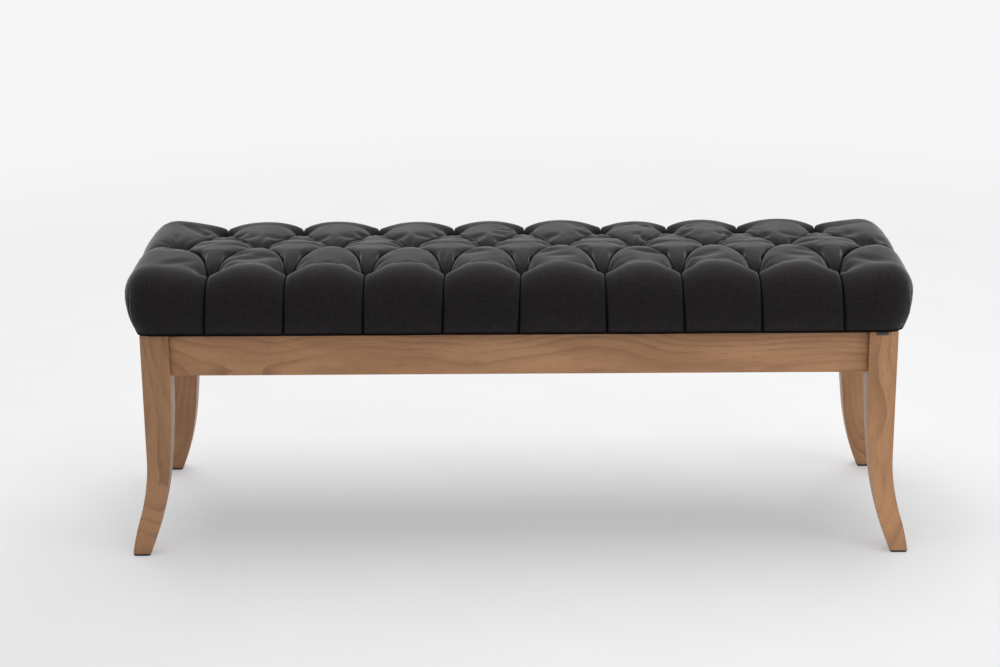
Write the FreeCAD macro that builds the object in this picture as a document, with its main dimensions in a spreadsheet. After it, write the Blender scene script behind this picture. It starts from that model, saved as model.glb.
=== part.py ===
"""Upholstered bench: a diamond-tufted seat on a wooden frame with four splayed, curved legs.

Millimetres, +Z up, +X along the bench, the front at -Y. The origin is on the floor under the middle.
"""
import FreeCAD
import Part
import Sketcher

import math
import os

Vector = FreeCAD.Vector
doc = FreeCAD.newDocument("TuftedBench")

# Dimensions, one alias a cell. Those with a formula follow from the others.
sheet = doc.addObject("Spreadsheet::Sheet", "Dims")
DIMENSIONS = [
    ("cushion_length", 1190, "widest part of the cushion"),
    ("cushion_depth", 376, "widest part of the cushion"),
    ("end_overhang", 25, "cushion past the leg tops at each end"),
    ("side_overhang", 20, "cushion past the leg tops in front and behind"),
    ("frame_length", "=cushion_length - 2 * end_overhang", "over the leg tops, along the bench"),
    ("frame_depth", "=cushion_depth - 2 * side_overhang", "over the leg tops, front to back"),
    ("leg_top", 349, "height of the wooden frame"),
    ("leg_width", 43, "square leg at the top"),
    ("foot_flare", 25, "how far the foot stands out past the leg top"),
    ("foot_width", 26.2, "foot at the glide"),
    ("toe_height", 50, "where the outer curve turns back"),
    ("toe_flare", 15.1, "outward step at the toe height"),
    ("knee_height", 150, "where the outer face leaves the vertical"),
    ("knee_radius", 330, "outer curve below the knee"),
    ("toe_radius", 338, "outer curve at the foot"),
    ("heel_height", 8, "top of the small chamfer inside the foot"),
    ("heel_step", 4, "inner face at the heel, in from the leg's outer top face"),
    ("calf_height", 138, "where the two inner curves meet"),
    ("calf_step", 35, "inner face at the calf, in from the outer top face"),
    ("calf_radius", 475, "lower inner curve"),
    ("thigh_radius", 1444, "upper inner curve"),
    ("glide_thick", 3.5, "plastic pad under the foot"),
    ("rail_thick", 22, "apron rail"),
    ("rail_height", 63, "apron rail"),
    ("rail_drop", 4.5, "rail top below the leg top"),
    ("rail_setback", 10, "rail face behind the leg face"),
    ("thigh_rise", 8.5, "start of the leg's inner curve above the rail's underside"),
    (
        "thigh_height",
        "=leg_top - rail_drop - rail_height + thigh_rise",
        "where the inner face leaves the vertical",
    ),
    ("tenon_long", 15, "rail tenon in the leg"),
    ("tenon_thick", 10, "rail tenon"),
    ("tenon_edge", 9, "shoulder above and below the tenon"),
    ("tenon_inset", 2, "tenon behind the rail's outer face, clear of the hanger bolt"),
    ("block_near", 16, "corner block, near face from the inner corner along both rails"),
    ("block_far", 44, "corner block, far face from the inner corner along both rails"),
    ("block_drop", 53, "underside of the corner block below the leg top"),
    ("block_base", "=leg_top - block_drop", "underside of the corner block"),
    ("block_height", 42, "corner block"),
    ("flat_reach", 14, "bolt flat on the leg from the inner corner along both rails"),
    ("bolt_radius", 3, "hanger bolt"),
    ("bolt_inner", 30, "hanger bolt into the leg from the inner corner"),
    ("bolt_outer", 41, "hanger bolt out past the inner corner"),
    ("bolt_drop", 32, "hanger bolt axis below the leg top"),
    ("bolt_height", "=leg_top - bolt_drop", "hanger bolt axis"),
    ("nut_flats", 10, "nut across flats"),
    ("nut_thick", 5, "nut"),
    ("slat_place", 190, "cross slat from the middle"),
    ("slat_width", 40, "cross slat"),
    ("slat_thick", 18, "cross slat"),
    ("slat_housing", 10, "slat end let into the rail"),
    ("cloth", 1, "thickness of the dust cover and of the turned-in hem"),
    ("hem_width", 10, "cover turned in under the seat board"),
    ("board_inset", 36, "seat board in from the cushion's widest part"),
    ("board_length", "=cushion_length - 2 * board_inset", "plywood seat board"),
    ("board_depth", "=cushion_depth - 2 * board_inset", "plywood seat board"),
    ("board_thick", 15, "plywood seat board"),
    ("foam_thick", 30, "flat foam block"),
    ("end_seam_depth", 24, "end seams behind the cushion's widest part"),
    ("side_seam_depth", 22, "front and back seams behind the cushion's widest part"),
    ("core_length", "=cushion_length - 2 * end_seam_depth", "cover at the bottom of its seams"),
    ("core_depth", "=cushion_depth - 2 * side_seam_depth", "cover at the bottom of its seams"),
    ("core_rise", 70, "bottom of the folds above the cushion's underside"),
    ("core_top", "=leg_top + cloth + core_rise", "bottom of the folds at the tufts"),
    ("puff_rise", 30, "top of the puffs above the folds"),
    ("cushion_top", "=core_top + puff_rise", "top of the puffs"),
    ("belly_rise", 42, "widest part of the cushion above its underside"),
    ("belly_height", "=leg_top + cloth + belly_rise", "height at which the cushion is widest"),
    ("tuft_margin", 54, "outer rows of tufts in from the cushion's widest part"),
    ("tuft_row", "=cushion_depth / 2 - tuft_margin", "outer rows of tufts from the middle row"),
    ("tuft_clear", 2, "bottom of the tufts above the foam"),
    (
        "tuft_floor",
        "=leg_top + 2 * cloth + board_thick + foam_thick + tuft_clear",
        "bottom of the tufts",
    ),
    ("tuft_mouth", 13, "radius of a tuft where it opens"),
    ("button_radius", 6, "covered button in the bottom of a tuft"),
    ("button_thick", 4.5, "covered button"),
    ("twine_wide", 2, "flat twine"),
    ("twine_thick", 1, "flat twine"),
    ("anchor_size", 8, "square twine anchor under the board"),
    ("tag_width", 18, "blank cloth tag"),
    ("tag_drop", 6.5, "blank cloth tag"),
    ("tag_margin", 49, "blank cloth tag in from the cushion's end"),
    ("tag_place", "=cushion_length / 2 - tag_margin", "blank cloth tag from the middle"),
]


class Size:
    """A length that keeps the formula it comes from, so that it can be bound to the sheet."""

    def __init__(self, text, mm):
        self.text = text
        self.mm = mm

    def __add__(self, other):
        other = as_size(other)
        return Size(f"({self.text} + {other.text})", self.mm + other.mm)

    def __sub__(self, other):
        other = as_size(other)
        return Size(f"({self.text} - {other.text})", self.mm - other.mm)

    def __mul__(self, factor):
        return Size(f"({self.text} * {factor})", self.mm * factor)

    def __truediv__(self, factor):
        return Size(f"({self.text} / {factor})", self.mm / factor)

    def __neg__(self):
        return Size(f"(0 - {self.text})", -self.mm)

    def __rsub__(self, other):
        return as_size(other) - self

    __radd__ = __add__


def as_size(value):
    if isinstance(value, Size):
        return value
    return Size(repr(float(value)), float(value))


for row, (alias, number, meaning) in enumerate(DIMENSIONS, start=1):
    sheet.set(f"A{row}", meaning)
    sheet.setAlias(f"B{row}", alias)
    sheet.set(f"B{row}", str(number))
doc.recompute()
SIZES = {alias: Size(f"Dims.{alias}", float(sheet.get(alias))) for alias, _, _ in DIMENSIONS}


def dim(alias):
    return SIZES[alias]


def bind(thing, prop, value):
    thing.setExpression(prop, as_size(value).text)


def place(thing, x, y, z, rotation=None):
    x, y, z = as_size(x), as_size(y), as_size(z)
    base = Vector(x.mm, y.mm, z.mm)
    thing.Placement = FreeCAD.Placement(base, rotation or FreeCAD.Rotation())
    bind(thing, "Placement.Base.x", x)
    bind(thing, "Placement.Base.y", y)
    bind(thing, "Placement.Base.z", z)
    return thing


def origin_plane(body, role):
    for feature in body.Origin.OriginFeatures:
        if feature.Role == role:
            return feature
    raise RuntimeError(f"{body.Label} has no {role}")


def new_body(name, label=None):
    body = doc.addObject("PartDesign::Body", name)
    body.Label = label or name
    return body


def sketch_on(body, role, name, lift=None):
    sketch = body.newObject("Sketcher::SketchObject", name)
    sketch.AttachmentSupport = [(origin_plane(body, role), "")]
    sketch.MapMode = "FlatFace"
    if lift is not None:
        sketch.AttachmentOffset = FreeCAD.Placement(Vector(0, 0, lift.mm), FreeCAD.Rotation())
        bind(sketch, "AttachmentOffset.Base.z", lift)
    return sketch


def free_sketch(name, rotation):
    sketch = doc.addObject("Sketcher::SketchObject", name)
    sketch.Placement = FreeCAD.Placement(Vector(0, 0, 0), rotation)
    return sketch


def pin_point(sketch, geometry, point, tag, x, y):
    """Ties one point of a sketch to the sheet through two dimensions from the sketch's origin."""
    for kind, name, value in (("DistanceX", "x", x), ("DistanceY", "y", y)):
        index = sketch.addConstraint(Sketcher.Constraint(kind, -1, 1, geometry, point, value.mm))
        sketch.renameConstraint(index, f"{name}_{tag}")
        bind(sketch, f"Constraints.{name}_{tag}", value)


def outline(sketch, tag, points, arcs=None):
    """A closed outline. arcs[i] = (radius, turn) bends the side that leaves point i, +1 anticlockwise."""
    arcs = arcs or {}
    points = [(as_size(x), as_size(y)) for x, y in points]
    ends = []
    for i, (x, y) in enumerate(points):
        a = Vector(x.mm, y.mm, 0)
        x2, y2 = points[(i + 1) % len(points)]
        b = Vector(x2.mm, y2.mm, 0)
        if i not in arcs:
            ends.append((sketch.addGeometry(Part.LineSegment(a, b)), 1, 2))
            continue
        radius, turn = arcs[i]
        chord = b - a
        right = Vector(chord.y, -chord.x, 0).normalize()
        rise = radius.mm - math.sqrt(radius.mm ** 2 - (chord.Length / 2) ** 2)
        middle = (a + b) / 2 + right * rise * turn
        geometry = sketch.addGeometry(Part.Arc(a, middle, b))
        ends.append((geometry, 1, 2) if turn > 0 else (geometry, 2, 1))
        index = sketch.addConstraint(Sketcher.Constraint("Radius", geometry, radius.mm))
        sketch.renameConstraint(index, f"r_{tag}{i}")
        bind(sketch, f"Constraints.r_{tag}{i}", radius)
    for i, (geometry, start, end) in enumerate(ends):
        following = ends[(i + 1) % len(ends)]
        sketch.addConstraint(Sketcher.Constraint("Coincident", geometry, end, following[0], following[1]))
        pin_point(sketch, geometry, start, f"{tag}{i}", points[i][0], points[i][1])


def rectangle(sketch, tag, x0, y0, x1, y1):
    outline(sketch, tag, [(x0, y0), (x1, y0), (x1, y1), (x0, y1)])


def pad(body, sketch, name, length, reverse=False, midplane=False):
    feature = body.newObject("PartDesign::Pad", name)
    feature.Profile = sketch
    feature.Length = as_size(length).mm
    bind(feature, "Length", length)
    feature.Reversed = reverse
    if midplane:
        feature.SideType = "Symmetric"
    return feature


def pocket(body, sketch, name, length, reverse=False, midplane=False):
    """Cuts a sketch into the body and makes sure that it removed something."""
    doc.recompute()
    before = body.Shape.Volume
    feature = body.newObject("PartDesign::Pocket", name)
    feature.Profile = sketch
    feature.Length = as_size(length).mm
    bind(feature, "Length", length)
    feature.Reversed = reverse
    if midplane:
        feature.SideType = "Symmetric"
    doc.recompute()
    if body.Shape.Volume > before - 0.5:
        raise RuntimeError(f"{name} removed nothing")
    return feature


def mirrored(body, features, name, role):
    doc.recompute()
    before = body.Shape.Volume
    feature = body.newObject("PartDesign::Mirrored", name)
    feature.Originals = features
    feature.MirrorPlane = (origin_plane(body, role), [""])
    body.Tip = feature
    doc.recompute()
    if body.Shape.Volume > before - 0.5:
        raise RuntimeError(f"{name} changed nothing")
    return feature


def mirror_of(source, name, normal):
    copy = doc.addObject("Part::Mirroring", name)
    copy.Source = source
    copy.Base = Vector(0, 0, 0)
    copy.Normal = normal
    copy.Label = name
    return copy


def cylinder(name, radius, height, x, y, z, rotation=None):
    rod = doc.addObject("Part::Cylinder", name)
    rod.Radius = as_size(radius).mm
    rod.Height = as_size(height).mm
    bind(rod, "Radius", radius)
    bind(rod, "Height", height)
    return place(rod, x, y, z, rotation)


def box(name, length, width, height, x, y, z):
    block = doc.addObject("Part::Box", name)
    for prop, value in (("Length", length), ("Width", width), ("Height", height)):
        setattr(block, prop, as_size(value).mm)
        bind(block, prop, value)
    return place(block, x, y, z)


def fuse(name, things):
    joined = doc.addObject("Part::MultiFuse", name)
    joined.Shapes = things
    return joined


def group(name, things):
    together = doc.addObject("Part::Compound", name)
    together.Links = things
    return together


def cut(name, base, tool):
    result = doc.addObject("Part::Cut", name)
    result.Base = base
    result.Tool = tool
    return result


BACK_Y = FreeCAD.Rotation(Vector(1, 0, 0), 90)
SIDEWAYS = Vector(1, 0, 0)
FRONT_BACK = Vector(0, 1, 0)

half_length = dim("frame_length") / 2
half_depth = dim("frame_depth") / 2
rail_top = dim("leg_top") - dim("rail_drop")
rail_base = rail_top - dim("rail_height")
rail_end_x = half_length - dim("leg_width")
rail_end_y = half_depth - dim("leg_width")
rail_face_x = half_length - dim("rail_setback")
rail_face_y = half_depth - dim("rail_setback")
corner_x = rail_face_x - dim("rail_thick")
corner_y = rail_face_y - dim("rail_thick")

subparts = []


def four_corners(front_left, name):
    """The other three corners are mirror images of the front left one."""
    front_left.Label = f"{name}_front_left"
    front_right = mirror_of(front_left, f"{name}_front_right", SIDEWAYS)
    back_left = mirror_of(front_left, f"{name}_back_left", FRONT_BACK)
    back_right = mirror_of(back_left, f"{name}_back_right", SIDEWAYS)
    return [front_left, front_right, back_left, back_right]


def in_four_corners(thing, name):
    """A small piece repeated at the four corners, for use in a group."""
    right = mirror_of(thing, f"{name}_mirror_x", SIDEWAYS)
    back = mirror_of(thing, f"{name}_mirror_y", FRONT_BACK)
    far = mirror_of(back, f"{name}_mirror_xy", SIDEWAYS)
    return [thing, right, back, far]


# Legs. One sabre curve, seen from the front and from the side: the leg is what both profiles share.
def leg_profile(sketch, half):
    outline(
        sketch,
        "leg",
        [
            (-half, dim("leg_top")),
            (-half, dim("knee_height")),
            (-half - dim("toe_flare"), dim("toe_height")),
            (-half - dim("foot_flare"), dim("glide_thick")),
            (-half - dim("foot_flare") + dim("foot_width"), dim("glide_thick")),
            (-half + dim("heel_step"), dim("heel_height")),
            (-half + dim("calf_step"), dim("calf_height")),
            (-half + dim("leg_width"), dim("thigh_height")),
            (-half + dim("leg_width"), dim("leg_top")),
        ],
        {
            1: (dim("knee_radius"), -1),
            2: (dim("toe_radius"), 1),
            5: (dim("calf_radius"), 1),
            6: (dim("thigh_radius"), 1),
        },
    )


front_view = free_sketch("LegFrontView", BACK_Y)
leg_profile(front_view, half_length)
side_view = free_sketch("LegSideView", FreeCAD.Rotation(Vector(1, 1, 1), 120))
leg_profile(side_view, half_depth)
solids = []
for name, view, direction in (
    ("LegFrontSweep", front_view, Vector(0, 1, 0)),
    ("LegSideSweep", side_view, Vector(1, 0, 0)),
):
    sweep = doc.addObject("Part::Extrusion", name)
    sweep.Base = view
    sweep.DirMode = "Custom"
    sweep.Dir = direction
    sweep.LengthFwd = (half_length + 60).mm
    sweep.LengthRev = (half_length + 60).mm
    sweep.Solid = True
    bind(sweep, "LengthFwd", half_length + 60)
    bind(sweep, "LengthRev", half_length + 60)
    solids.append(sweep)
leg_blank = doc.addObject("Part::MultiCommon", "LegBlank")
leg_blank.Shapes = solids

# The bolt flat takes the inner corner off the leg, along the line where both distances from the
# rails' inner corner add up to the flat's reach.
across = FreeCAD.Rotation(Vector(0, 0, 1), 45)
flat_cutter = doc.addObject("Part::Box", "BoltFlatCutter")
flat_cutter.Length = 40
flat_cutter.Width = 60
bind(flat_cutter, "Height", dim("leg_top") - dim("thigh_height") + 5)
place(
    flat_cutter,
    -corner_x + dim("flat_reach") / 2 + 30 / math.sqrt(2),
    -corner_y + dim("flat_reach") / 2 - 30 / math.sqrt(2),
    dim("thigh_height"),
    across,
)

# Stub tenons of the two rails, as blocks: the mortises in the leg are cut with them.
tenon_high = dim("rail_height") - dim("tenon_edge") * 2
tenons = [
    box(
        "TenonFront",
        dim("tenon_long"),
        dim("tenon_thick"),
        tenon_high,
        -rail_end_x - dim("tenon_long"),
        -rail_face_y + dim("tenon_inset"),
        rail_base + dim("tenon_edge"),
    ),
    box(
        "TenonEnd",
        dim("tenon_thick"),
        dim("tenon_long"),
        tenon_high,
        -rail_face_x + dim("tenon_inset"),
        -rail_end_y - dim("tenon_long"),
        rail_base + dim("tenon_edge"),
    ),
]
diagonal = FreeCAD.Rotation(Vector(0, 0, 1), Vector(1, 1, 0).normalize())
step = 1 / math.sqrt(2)
bolt = cylinder(
    "HangerBolt",
    dim("bolt_radius"),
    dim("bolt_inner") + dim("bolt_outer"),
    -corner_x - dim("bolt_inner") * step,
    -corner_y - dim("bolt_inner") * step,
    dim("bolt_height"),
    diagonal,
)
leg_tools = fuse("LegTools", [flat_cutter, bolt] + tenons)
leg = cut("leg_front_left", leg_blank, leg_tools)
subparts += four_corners(leg, "leg")

bolt_group = group("hanger_bolts", in_four_corners(bolt, "Bolt"))
subparts.append(bolt_group)

# Nut on the bolt's inner end, against the corner block.
block_far_reach = dim("block_far") * (step)
nut_at = block_far_reach
nut_blank = doc.addObject("Part::Prism", "NutBlank")
nut_blank.Polygon = 6
bind(nut_blank, "Circumradius", dim("nut_flats") / math.sqrt(3))
bind(nut_blank, "Height", dim("nut_thick"))
place(
    nut_blank,
    -corner_x + nut_at * step,
    -corner_y + nut_at * step,
    dim("bolt_height"),
    diagonal,
)
nut = cut("Nut", nut_blank, bolt)
subparts.append(group("bolt_nuts", in_four_corners(nut, "Nut")))


# Corner block: a mitred block across the corner, glued and screwed to both rails.
block = new_body("CornerBlock")
plan = sketch_on(block, "XY_Plane", "CornerBlockPlan", dim("block_base"))
outline(
    plan,
    "plan",
    [
        (-corner_x + dim("block_near"), -corner_y),
        (-corner_x + dim("block_far"), -corner_y),
        (-corner_x, -corner_y + dim("block_far")),
        (-corner_x, -corner_y + dim("block_near")),
    ],
)
pad(block, plan, "CornerBlockPad", dim("block_height"))

bolt_bore = cylinder(
    "BoltBore",
    dim("bolt_radius") + 0.5,
    60,
    -corner_x,
    -corner_y,
    dim("bolt_height"),
    diagonal,
)
corner_block = cut("corner_block_front_left", block, bolt_bore)
subparts += four_corners(corner_block, "corner_block")

# Cross slats, let into the front and back rails, flush with the leg tops.
slat_base = dim("leg_top") - dim("slat_thick")
slat = new_body("CrossSlat")
slat_plan = sketch_on(slat, "XY_Plane", "SlatPlan", slat_base)
rectangle(
    slat_plan,
    "slat",
    -dim("slat_place") - dim("slat_width") / 2,
    -corner_y - dim("slat_housing"),
    -dim("slat_place") + dim("slat_width") / 2,
    corner_y + dim("slat_housing"),
)
pad(slat, slat_plan, "SlatPad", dim("slat_thick"))
slat.Label = "cross_slat_left"
subparts.append(slat)
subparts.append(mirror_of(slat, "cross_slat_right", SIDEWAYS))


# Apron rails with a stub tenon at each end, set back from the legs' faces.
front_rail = new_body("FrontRailBlank")
rail_face = sketch_on(front_rail, "XZ_Plane", "FrontRailFace", rail_face_y)
rectangle(rail_face, "rail", -rail_end_x, rail_base, rail_end_x, rail_top)
pad(front_rail, rail_face, "FrontRailPad", dim("rail_thick"), reverse=True)
housing = sketch_on(front_rail, "XZ_Plane", "SlatHousing", corner_y)
rectangle(
    housing,
    "slot",
    -dim("slat_place") - dim("slat_width") / 2,
    slat_base,
    -dim("slat_place") + dim("slat_width") / 2,
    rail_top + 5,
)
housing_pocket = pocket(
    front_rail, housing, "SlatHousingPocket", dim("slat_housing"), reverse=True
)
mirrored(front_rail, [housing_pocket], "SlatHousings", "YZ_Plane")
far_tenon = mirror_of(tenons[0], "TenonFrontFar", SIDEWAYS)
rail_front = fuse("rail_front", [front_rail, tenons[0], far_tenon])
rail_front.Label = "rail_front"
rail_back = mirror_of(rail_front, "rail_back", FRONT_BACK)

end_rail = new_body("EndRailBlank")
end_face = sketch_on(end_rail, "YZ_Plane", "EndRailFace", -rail_face_x)
rectangle(end_face, "rail", -rail_end_y, rail_base, rail_end_y, rail_top)
pad(end_rail, end_face, "EndRailPad", dim("rail_thick"))
far_tenon = mirror_of(tenons[1], "TenonEndFar", FRONT_BACK)
rail_left = fuse("rail_left", [end_rail, tenons[1], far_tenon])
rail_left.Label = "rail_left"
rail_right = mirror_of(rail_left, "rail_right", SIDEWAYS)
subparts += [rail_front, rail_back, rail_left, rail_right]


# Glide: a square pad with cut corners under the foot.
foot_x = -half_length - dim("foot_flare") + dim("foot_width") / 2
foot_y = -half_depth - dim("foot_flare") + dim("foot_width") / 2
glide = new_body("Glide")
glide_plan = sketch_on(glide, "XY_Plane", "GlidePlan")
reach = dim("foot_width") / 2 - 0.2
eased = reach - 3
outline(
    glide_plan,
    "glide",
    [
        (foot_x - eased, foot_y - reach),
        (foot_x + eased, foot_y - reach),
        (foot_x + reach, foot_y - eased),
        (foot_x + reach, foot_y + eased),
        (foot_x + eased, foot_y + reach),
        (foot_x - eased, foot_y + reach),
        (foot_x - reach, foot_y + eased),
        (foot_x - reach, foot_y - eased),
    ],
)
pad(glide, glide_plan, "GlidePad", dim("glide_thick"))
subparts += four_corners(glide, "glide")


# Seat board: plywood over the leg tops.
board_base = dim("leg_top") + dim("cloth") * 2
board_top = board_base + dim("board_thick")
foam_top = board_top + dim("foam_thick")
board = new_body("SeatBoardBlank")
board_plan = sketch_on(board, "XY_Plane", "SeatBoardPlan", board_base)
rectangle(
    board_plan,
    "board",
    -dim("board_length") / 2,
    -dim("board_depth") / 2,
    dim("board_length") / 2,
    dim("board_depth") / 2,
)
pad(board, board_plan, "SeatBoardPad", dim("board_thick"))
foam = new_body("FoamBlank")
foam_plan = sketch_on(foam, "XY_Plane", "FoamPlan", board_top)
rectangle(
    foam_plan,
    "foam",
    -dim("board_length") / 2,
    -dim("board_depth") / 2,
    dim("board_length") / 2,
    dim("board_depth") / 2,
)
pad(foam, foam_plan, "FoamPad", dim("foam_thick"))

# Tufts, left to right: nine in front, ten along the middle, nine behind. The hand-set spacing of
# about 118 wanders by a few millimetres, as it does on the real seat. All places are for a cushion
# 1190 long, and a longer or shorter one spreads them.
TUFTED_LENGTH = 1190.0
TUFT_PITCH = 117.5
FRONT_DRIFT = [1, 0, 0, 2, -2, 4, 0, -2, 0]
MIDDLE_DRIFT = [-3, 3, 0, 2, 2, 0, 1, 0, -4, 8]
BACK_DRIFT = [-9, -3, 2, 6, 3, 8, -2, -5, 2]
TUFT_SHIFT = 7
half_pitches = (len(MIDDLE_DRIFT) - 1) / 2


def tuft_places(drifts, first):
    """Where the tufts of a row lie along the bench, the first that many pitches from the middle."""
    places = []
    for i, drift in enumerate(drifts):
        share = (TUFT_SHIFT + TUFT_PITCH * (i - first) + drift) / TUFTED_LENGTH
        places.append(dim("cushion_length") * round(share, 6))
    return places


front_row = tuft_places(FRONT_DRIFT, 4)
middle_row = tuft_places(MIDDLE_DRIFT, half_pitches)
back_row = tuft_places(BACK_DRIFT, 4)
tufts = [(x, -dim("tuft_row")) for x in front_row]
tufts += [(x, as_size(0)) for x in middle_row]
tufts += [(x, dim("tuft_row")) for x in back_row]

buttons = []
twines = []
anchor_plates = []
for index, (x, y) in enumerate(tufts, start=1):
    button = doc.addObject("Part::Prism", f"Button{index}")
    button.Polygon = 8
    bind(button, "Circumradius", dim("button_radius"))
    bind(button, "Height", dim("button_thick"))
    buttons.append(place(button, x, y, dim("tuft_floor")))
    twines.append(
        box(
            f"Twine{index}",
            dim("twine_wide"),
            dim("twine_thick"),
            dim("tuft_floor") - dim("leg_top") - dim("cloth"),
            x - dim("twine_wide") / 2,
            y - dim("twine_thick") / 2,
            dim("leg_top") + dim("cloth"),
        )
    )
    anchor_plates.append(
        box(
            f"AnchorPlate{index}",
            dim("anchor_size"),
            dim("anchor_size"),
            dim("cloth"),
            x - dim("anchor_size") / 2,
            y - dim("anchor_size") / 2,
            dim("leg_top") + dim("cloth"),
        )
    )
twine_group = group("tuft_twines", twines)
anchors = cut("twine_anchors", group("AnchorPlates", anchor_plates), twine_group)
subparts += [group("tuft_buttons", buttons), twine_group, anchors]
seat_board = cut("seat_board", board, twine_group)
seat_foam = cut("seat_foam", foam, twine_group)
subparts += [seat_board, seat_foam]

# Dust cover: thin black cloth over the whole underside, held between the seat and the leg tops.
dust = new_body("DustCover")
dust_plan = sketch_on(dust, "XY_Plane", "DustCoverPlan", dim("leg_top"))
rectangle(
    dust_plan,
    "dust",
    -dim("board_length") / 2 + 10,
    -dim("board_depth") / 2 + 8,
    dim("board_length") / 2 - 10,
    dim("board_depth") / 2 - 8,
)
pad(dust, dust_plan, "DustCoverPad", dim("cloth"))
dust.Label = "dust_cover"
subparts.append(dust)


# Tufted cover with its filling. Every puff is a loft through arcs. The puffs stand on a core whose
# faces are the bottoms of the seams and folds.
core_x = dim("core_length").mm / 2
core_y = dim("core_depth").mm / 2
core_base = dim("leg_top").mm + dim("cloth").mm
core_top = dim("core_top").mm
row = dim("tuft_row").mm
front_tufts = [x.mm for x in front_row]
middle_tufts = [x.mm for x in middle_row]
back_tufts = [x.mm for x in back_row]
puff_top = dim("cushion_top").mm
belly_x = dim("cushion_length").mm / 2
belly_y = dim("cushion_depth").mm / 2
belly_z = dim("belly_height").mm
SEAM_LAP = 1.0
PUFF_CHORDS = 8
BORDER_PLUMP = 0.28
DIAMOND_PLUMP = 0.22


def arc_points(a, middle, b, chords):
    """Points along the arc through a, middle and b, one more than the number of chords."""
    arc = Part.Arc(a, middle, b).toShape()
    return arc.discretize(Number=chords + 1)


def closed_wire(points):
    return Part.makePolygon(list(points) + [points[0]])


def flat_loft(rings):
    """A ruled loft through rings of straight lines, made of flat faces; a strip that twists gets two."""
    faces = [Part.Face(closed_wire(rings[0])), Part.Face(closed_wire(rings[-1]))]
    for near, far in zip(rings, rings[1:]):
        for i in range(len(near)):
            j = (i + 1) % len(near)
            quad = [near[i], near[j], far[j], far[i]]
            normal = (quad[1] - quad[0]).cross(quad[3] - quad[0]).normalize()
            if abs(normal.dot(quad[2] - quad[0])) < 1e-6:
                faces.append(Part.Face(closed_wire(quad)))
            else:
                faces.append(Part.Face(closed_wire([quad[0], quad[1], quad[2]])))
                faces.append(Part.Face(closed_wire([quad[0], quad[2], quad[3]])))
    skin = Part.makeCompound(faces)
    skin.sewShape()
    solid = Part.Solid(skin.Shells[0])
    if solid.Volume < 0:
        solid.reverse()
    return solid


def arc_section(left, right, place_at, out, plump, deep=20.0):
    """One closed section of a puff: an arc from seam to seam, in chords, over sides sunk in the core.

    The arc keeps its proportions as the puff narrows, so that the strips between sections stay flat.
    """
    side = Vector(1, 0, 0)
    middle = place_at + side * ((left + right) / 2)
    half = (right - left) / 2
    a = middle - side * half
    b = middle + side * half
    crown = middle + out * (plump * (right - left))
    low = out * -deep
    return arc_points(a, crown, b, PUFF_CHORDS) + [b + low, a + low]


def fold_height(share):
    """Height of the folds between two tufts: lowest at the tufts, higher half way. 1 is an outer row."""
    return core_top + 2.0 + 2.0 * share + 9.0 * math.sin(math.pi * share)


def border_puff(side, left_tuft, right_tuft, tip):
    """A puff that starts at the bottom edge, rolls over the lip and narrows to a middle tuft."""
    slant = Vector(0, side, 1).normalize()
    stations = [
        (core_y - 8, core_base - 14, 1.0),
        (core_y - 1, belly_z - 26, 1.0),
        (core_y - 1, belly_z, 1.0),
        (core_y - 6, core_top - 8, 1.0),
        (core_y - 17, core_top + 3, 1.0),
        (row, fold_height(1.0), 1.0),
    ]
    for share in (0.85, 0.7, 0.52, 0.34, 0.18, 0.05):
        stations.append((row * share, fold_height(share), share))
    rings = []
    for y, z, share in stations:
        left = tip + (left_tuft - tip) * share - SEAM_LAP
        right = tip + (right_tuft - tip) * share + SEAM_LAP
        rings.append(arc_section(left, right, Vector(0, side * y, z), slant, BORDER_PLUMP))
    return flat_loft(rings)


def diamond_puff(left_tuft, right_tuft, front_tuft, back_tuft):
    """A puff between four tufts, widest along the middle row."""
    up = Vector(0, 0, 1)
    rings = []
    for share in (-0.97, -0.85, -0.68, -0.45, -0.2, 0.0, 0.2, 0.45, 0.68, 0.85, 0.97):
        tip = front_tuft if share < 0 else back_tuft
        left = left_tuft + (tip - left_tuft) * abs(share) - SEAM_LAP
        right = right_tuft + (tip - right_tuft) * abs(share) + SEAM_LAP
        at = Vector(0, share * row, fold_height(abs(share)))
        rings.append(arc_section(left, right, at, up, DIAMOND_PLUMP))
    return flat_loft(rings)


def corner_puff(end, side, seam_tuft, end_tuft):
    """A corner puff: outlines seen from the end of the bench, lofted from the seam to the end."""
    reach = belly_x - abs(seam_tuft)
    to_tuft = (abs(end_tuft) - abs(seam_tuft)) / reach
    rings = []
    past_tuft = 1.0 - to_tuft
    for share, full in (
        (-0.01, 0.80),
        (to_tuft * 0.25, 0.92),
        (to_tuft * 0.6, 0.985),
        (to_tuft, 1.0),
        (to_tuft + past_tuft * 0.47, 0.985),
        (to_tuft + past_tuft * 0.77, 0.93),
        (to_tuft + past_tuft * 0.925, 0.86),
        (1.0, 0.75),
    ):
        x = end * (abs(seam_tuft) + reach * share)
        inner = row * max(0.0, 1.0 - share / to_tuft) + 0.6
        base = core_base - 6.0
        front_face = [
            Vector(x, side * (core_y + 9), base),
            Vector(x, side * belly_y, belly_z + 4),
            Vector(x, side * (belly_y - 14), puff_top - 16),
        ]
        top_face = [
            front_face[2],
            Vector(x, side * (inner + (belly_y - inner) * 0.55), puff_top),
            Vector(x, side * inner, fold_height(min(1.0, inner / row)) + 2),
        ]
        skin = arc_points(*front_face, 4)[:-1] + arc_points(*top_face, 7)
        pivot = Vector(x, side * inner, base)
        skin = [pivot + (point - pivot) * full for point in skin]
        rings.append(skin + [pivot])
    return flat_loft(rings)


# The core under the puffs: drawn in towards its bottom edge, its upper edges cut at a slant.
def core_ring(grow, height):
    x = core_x + grow
    y = core_y + grow
    corners = [(-x, -y), (x, -y), (x, y), (-x, y)]
    return [Vector(u, v, height) for u, v in corners]


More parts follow.
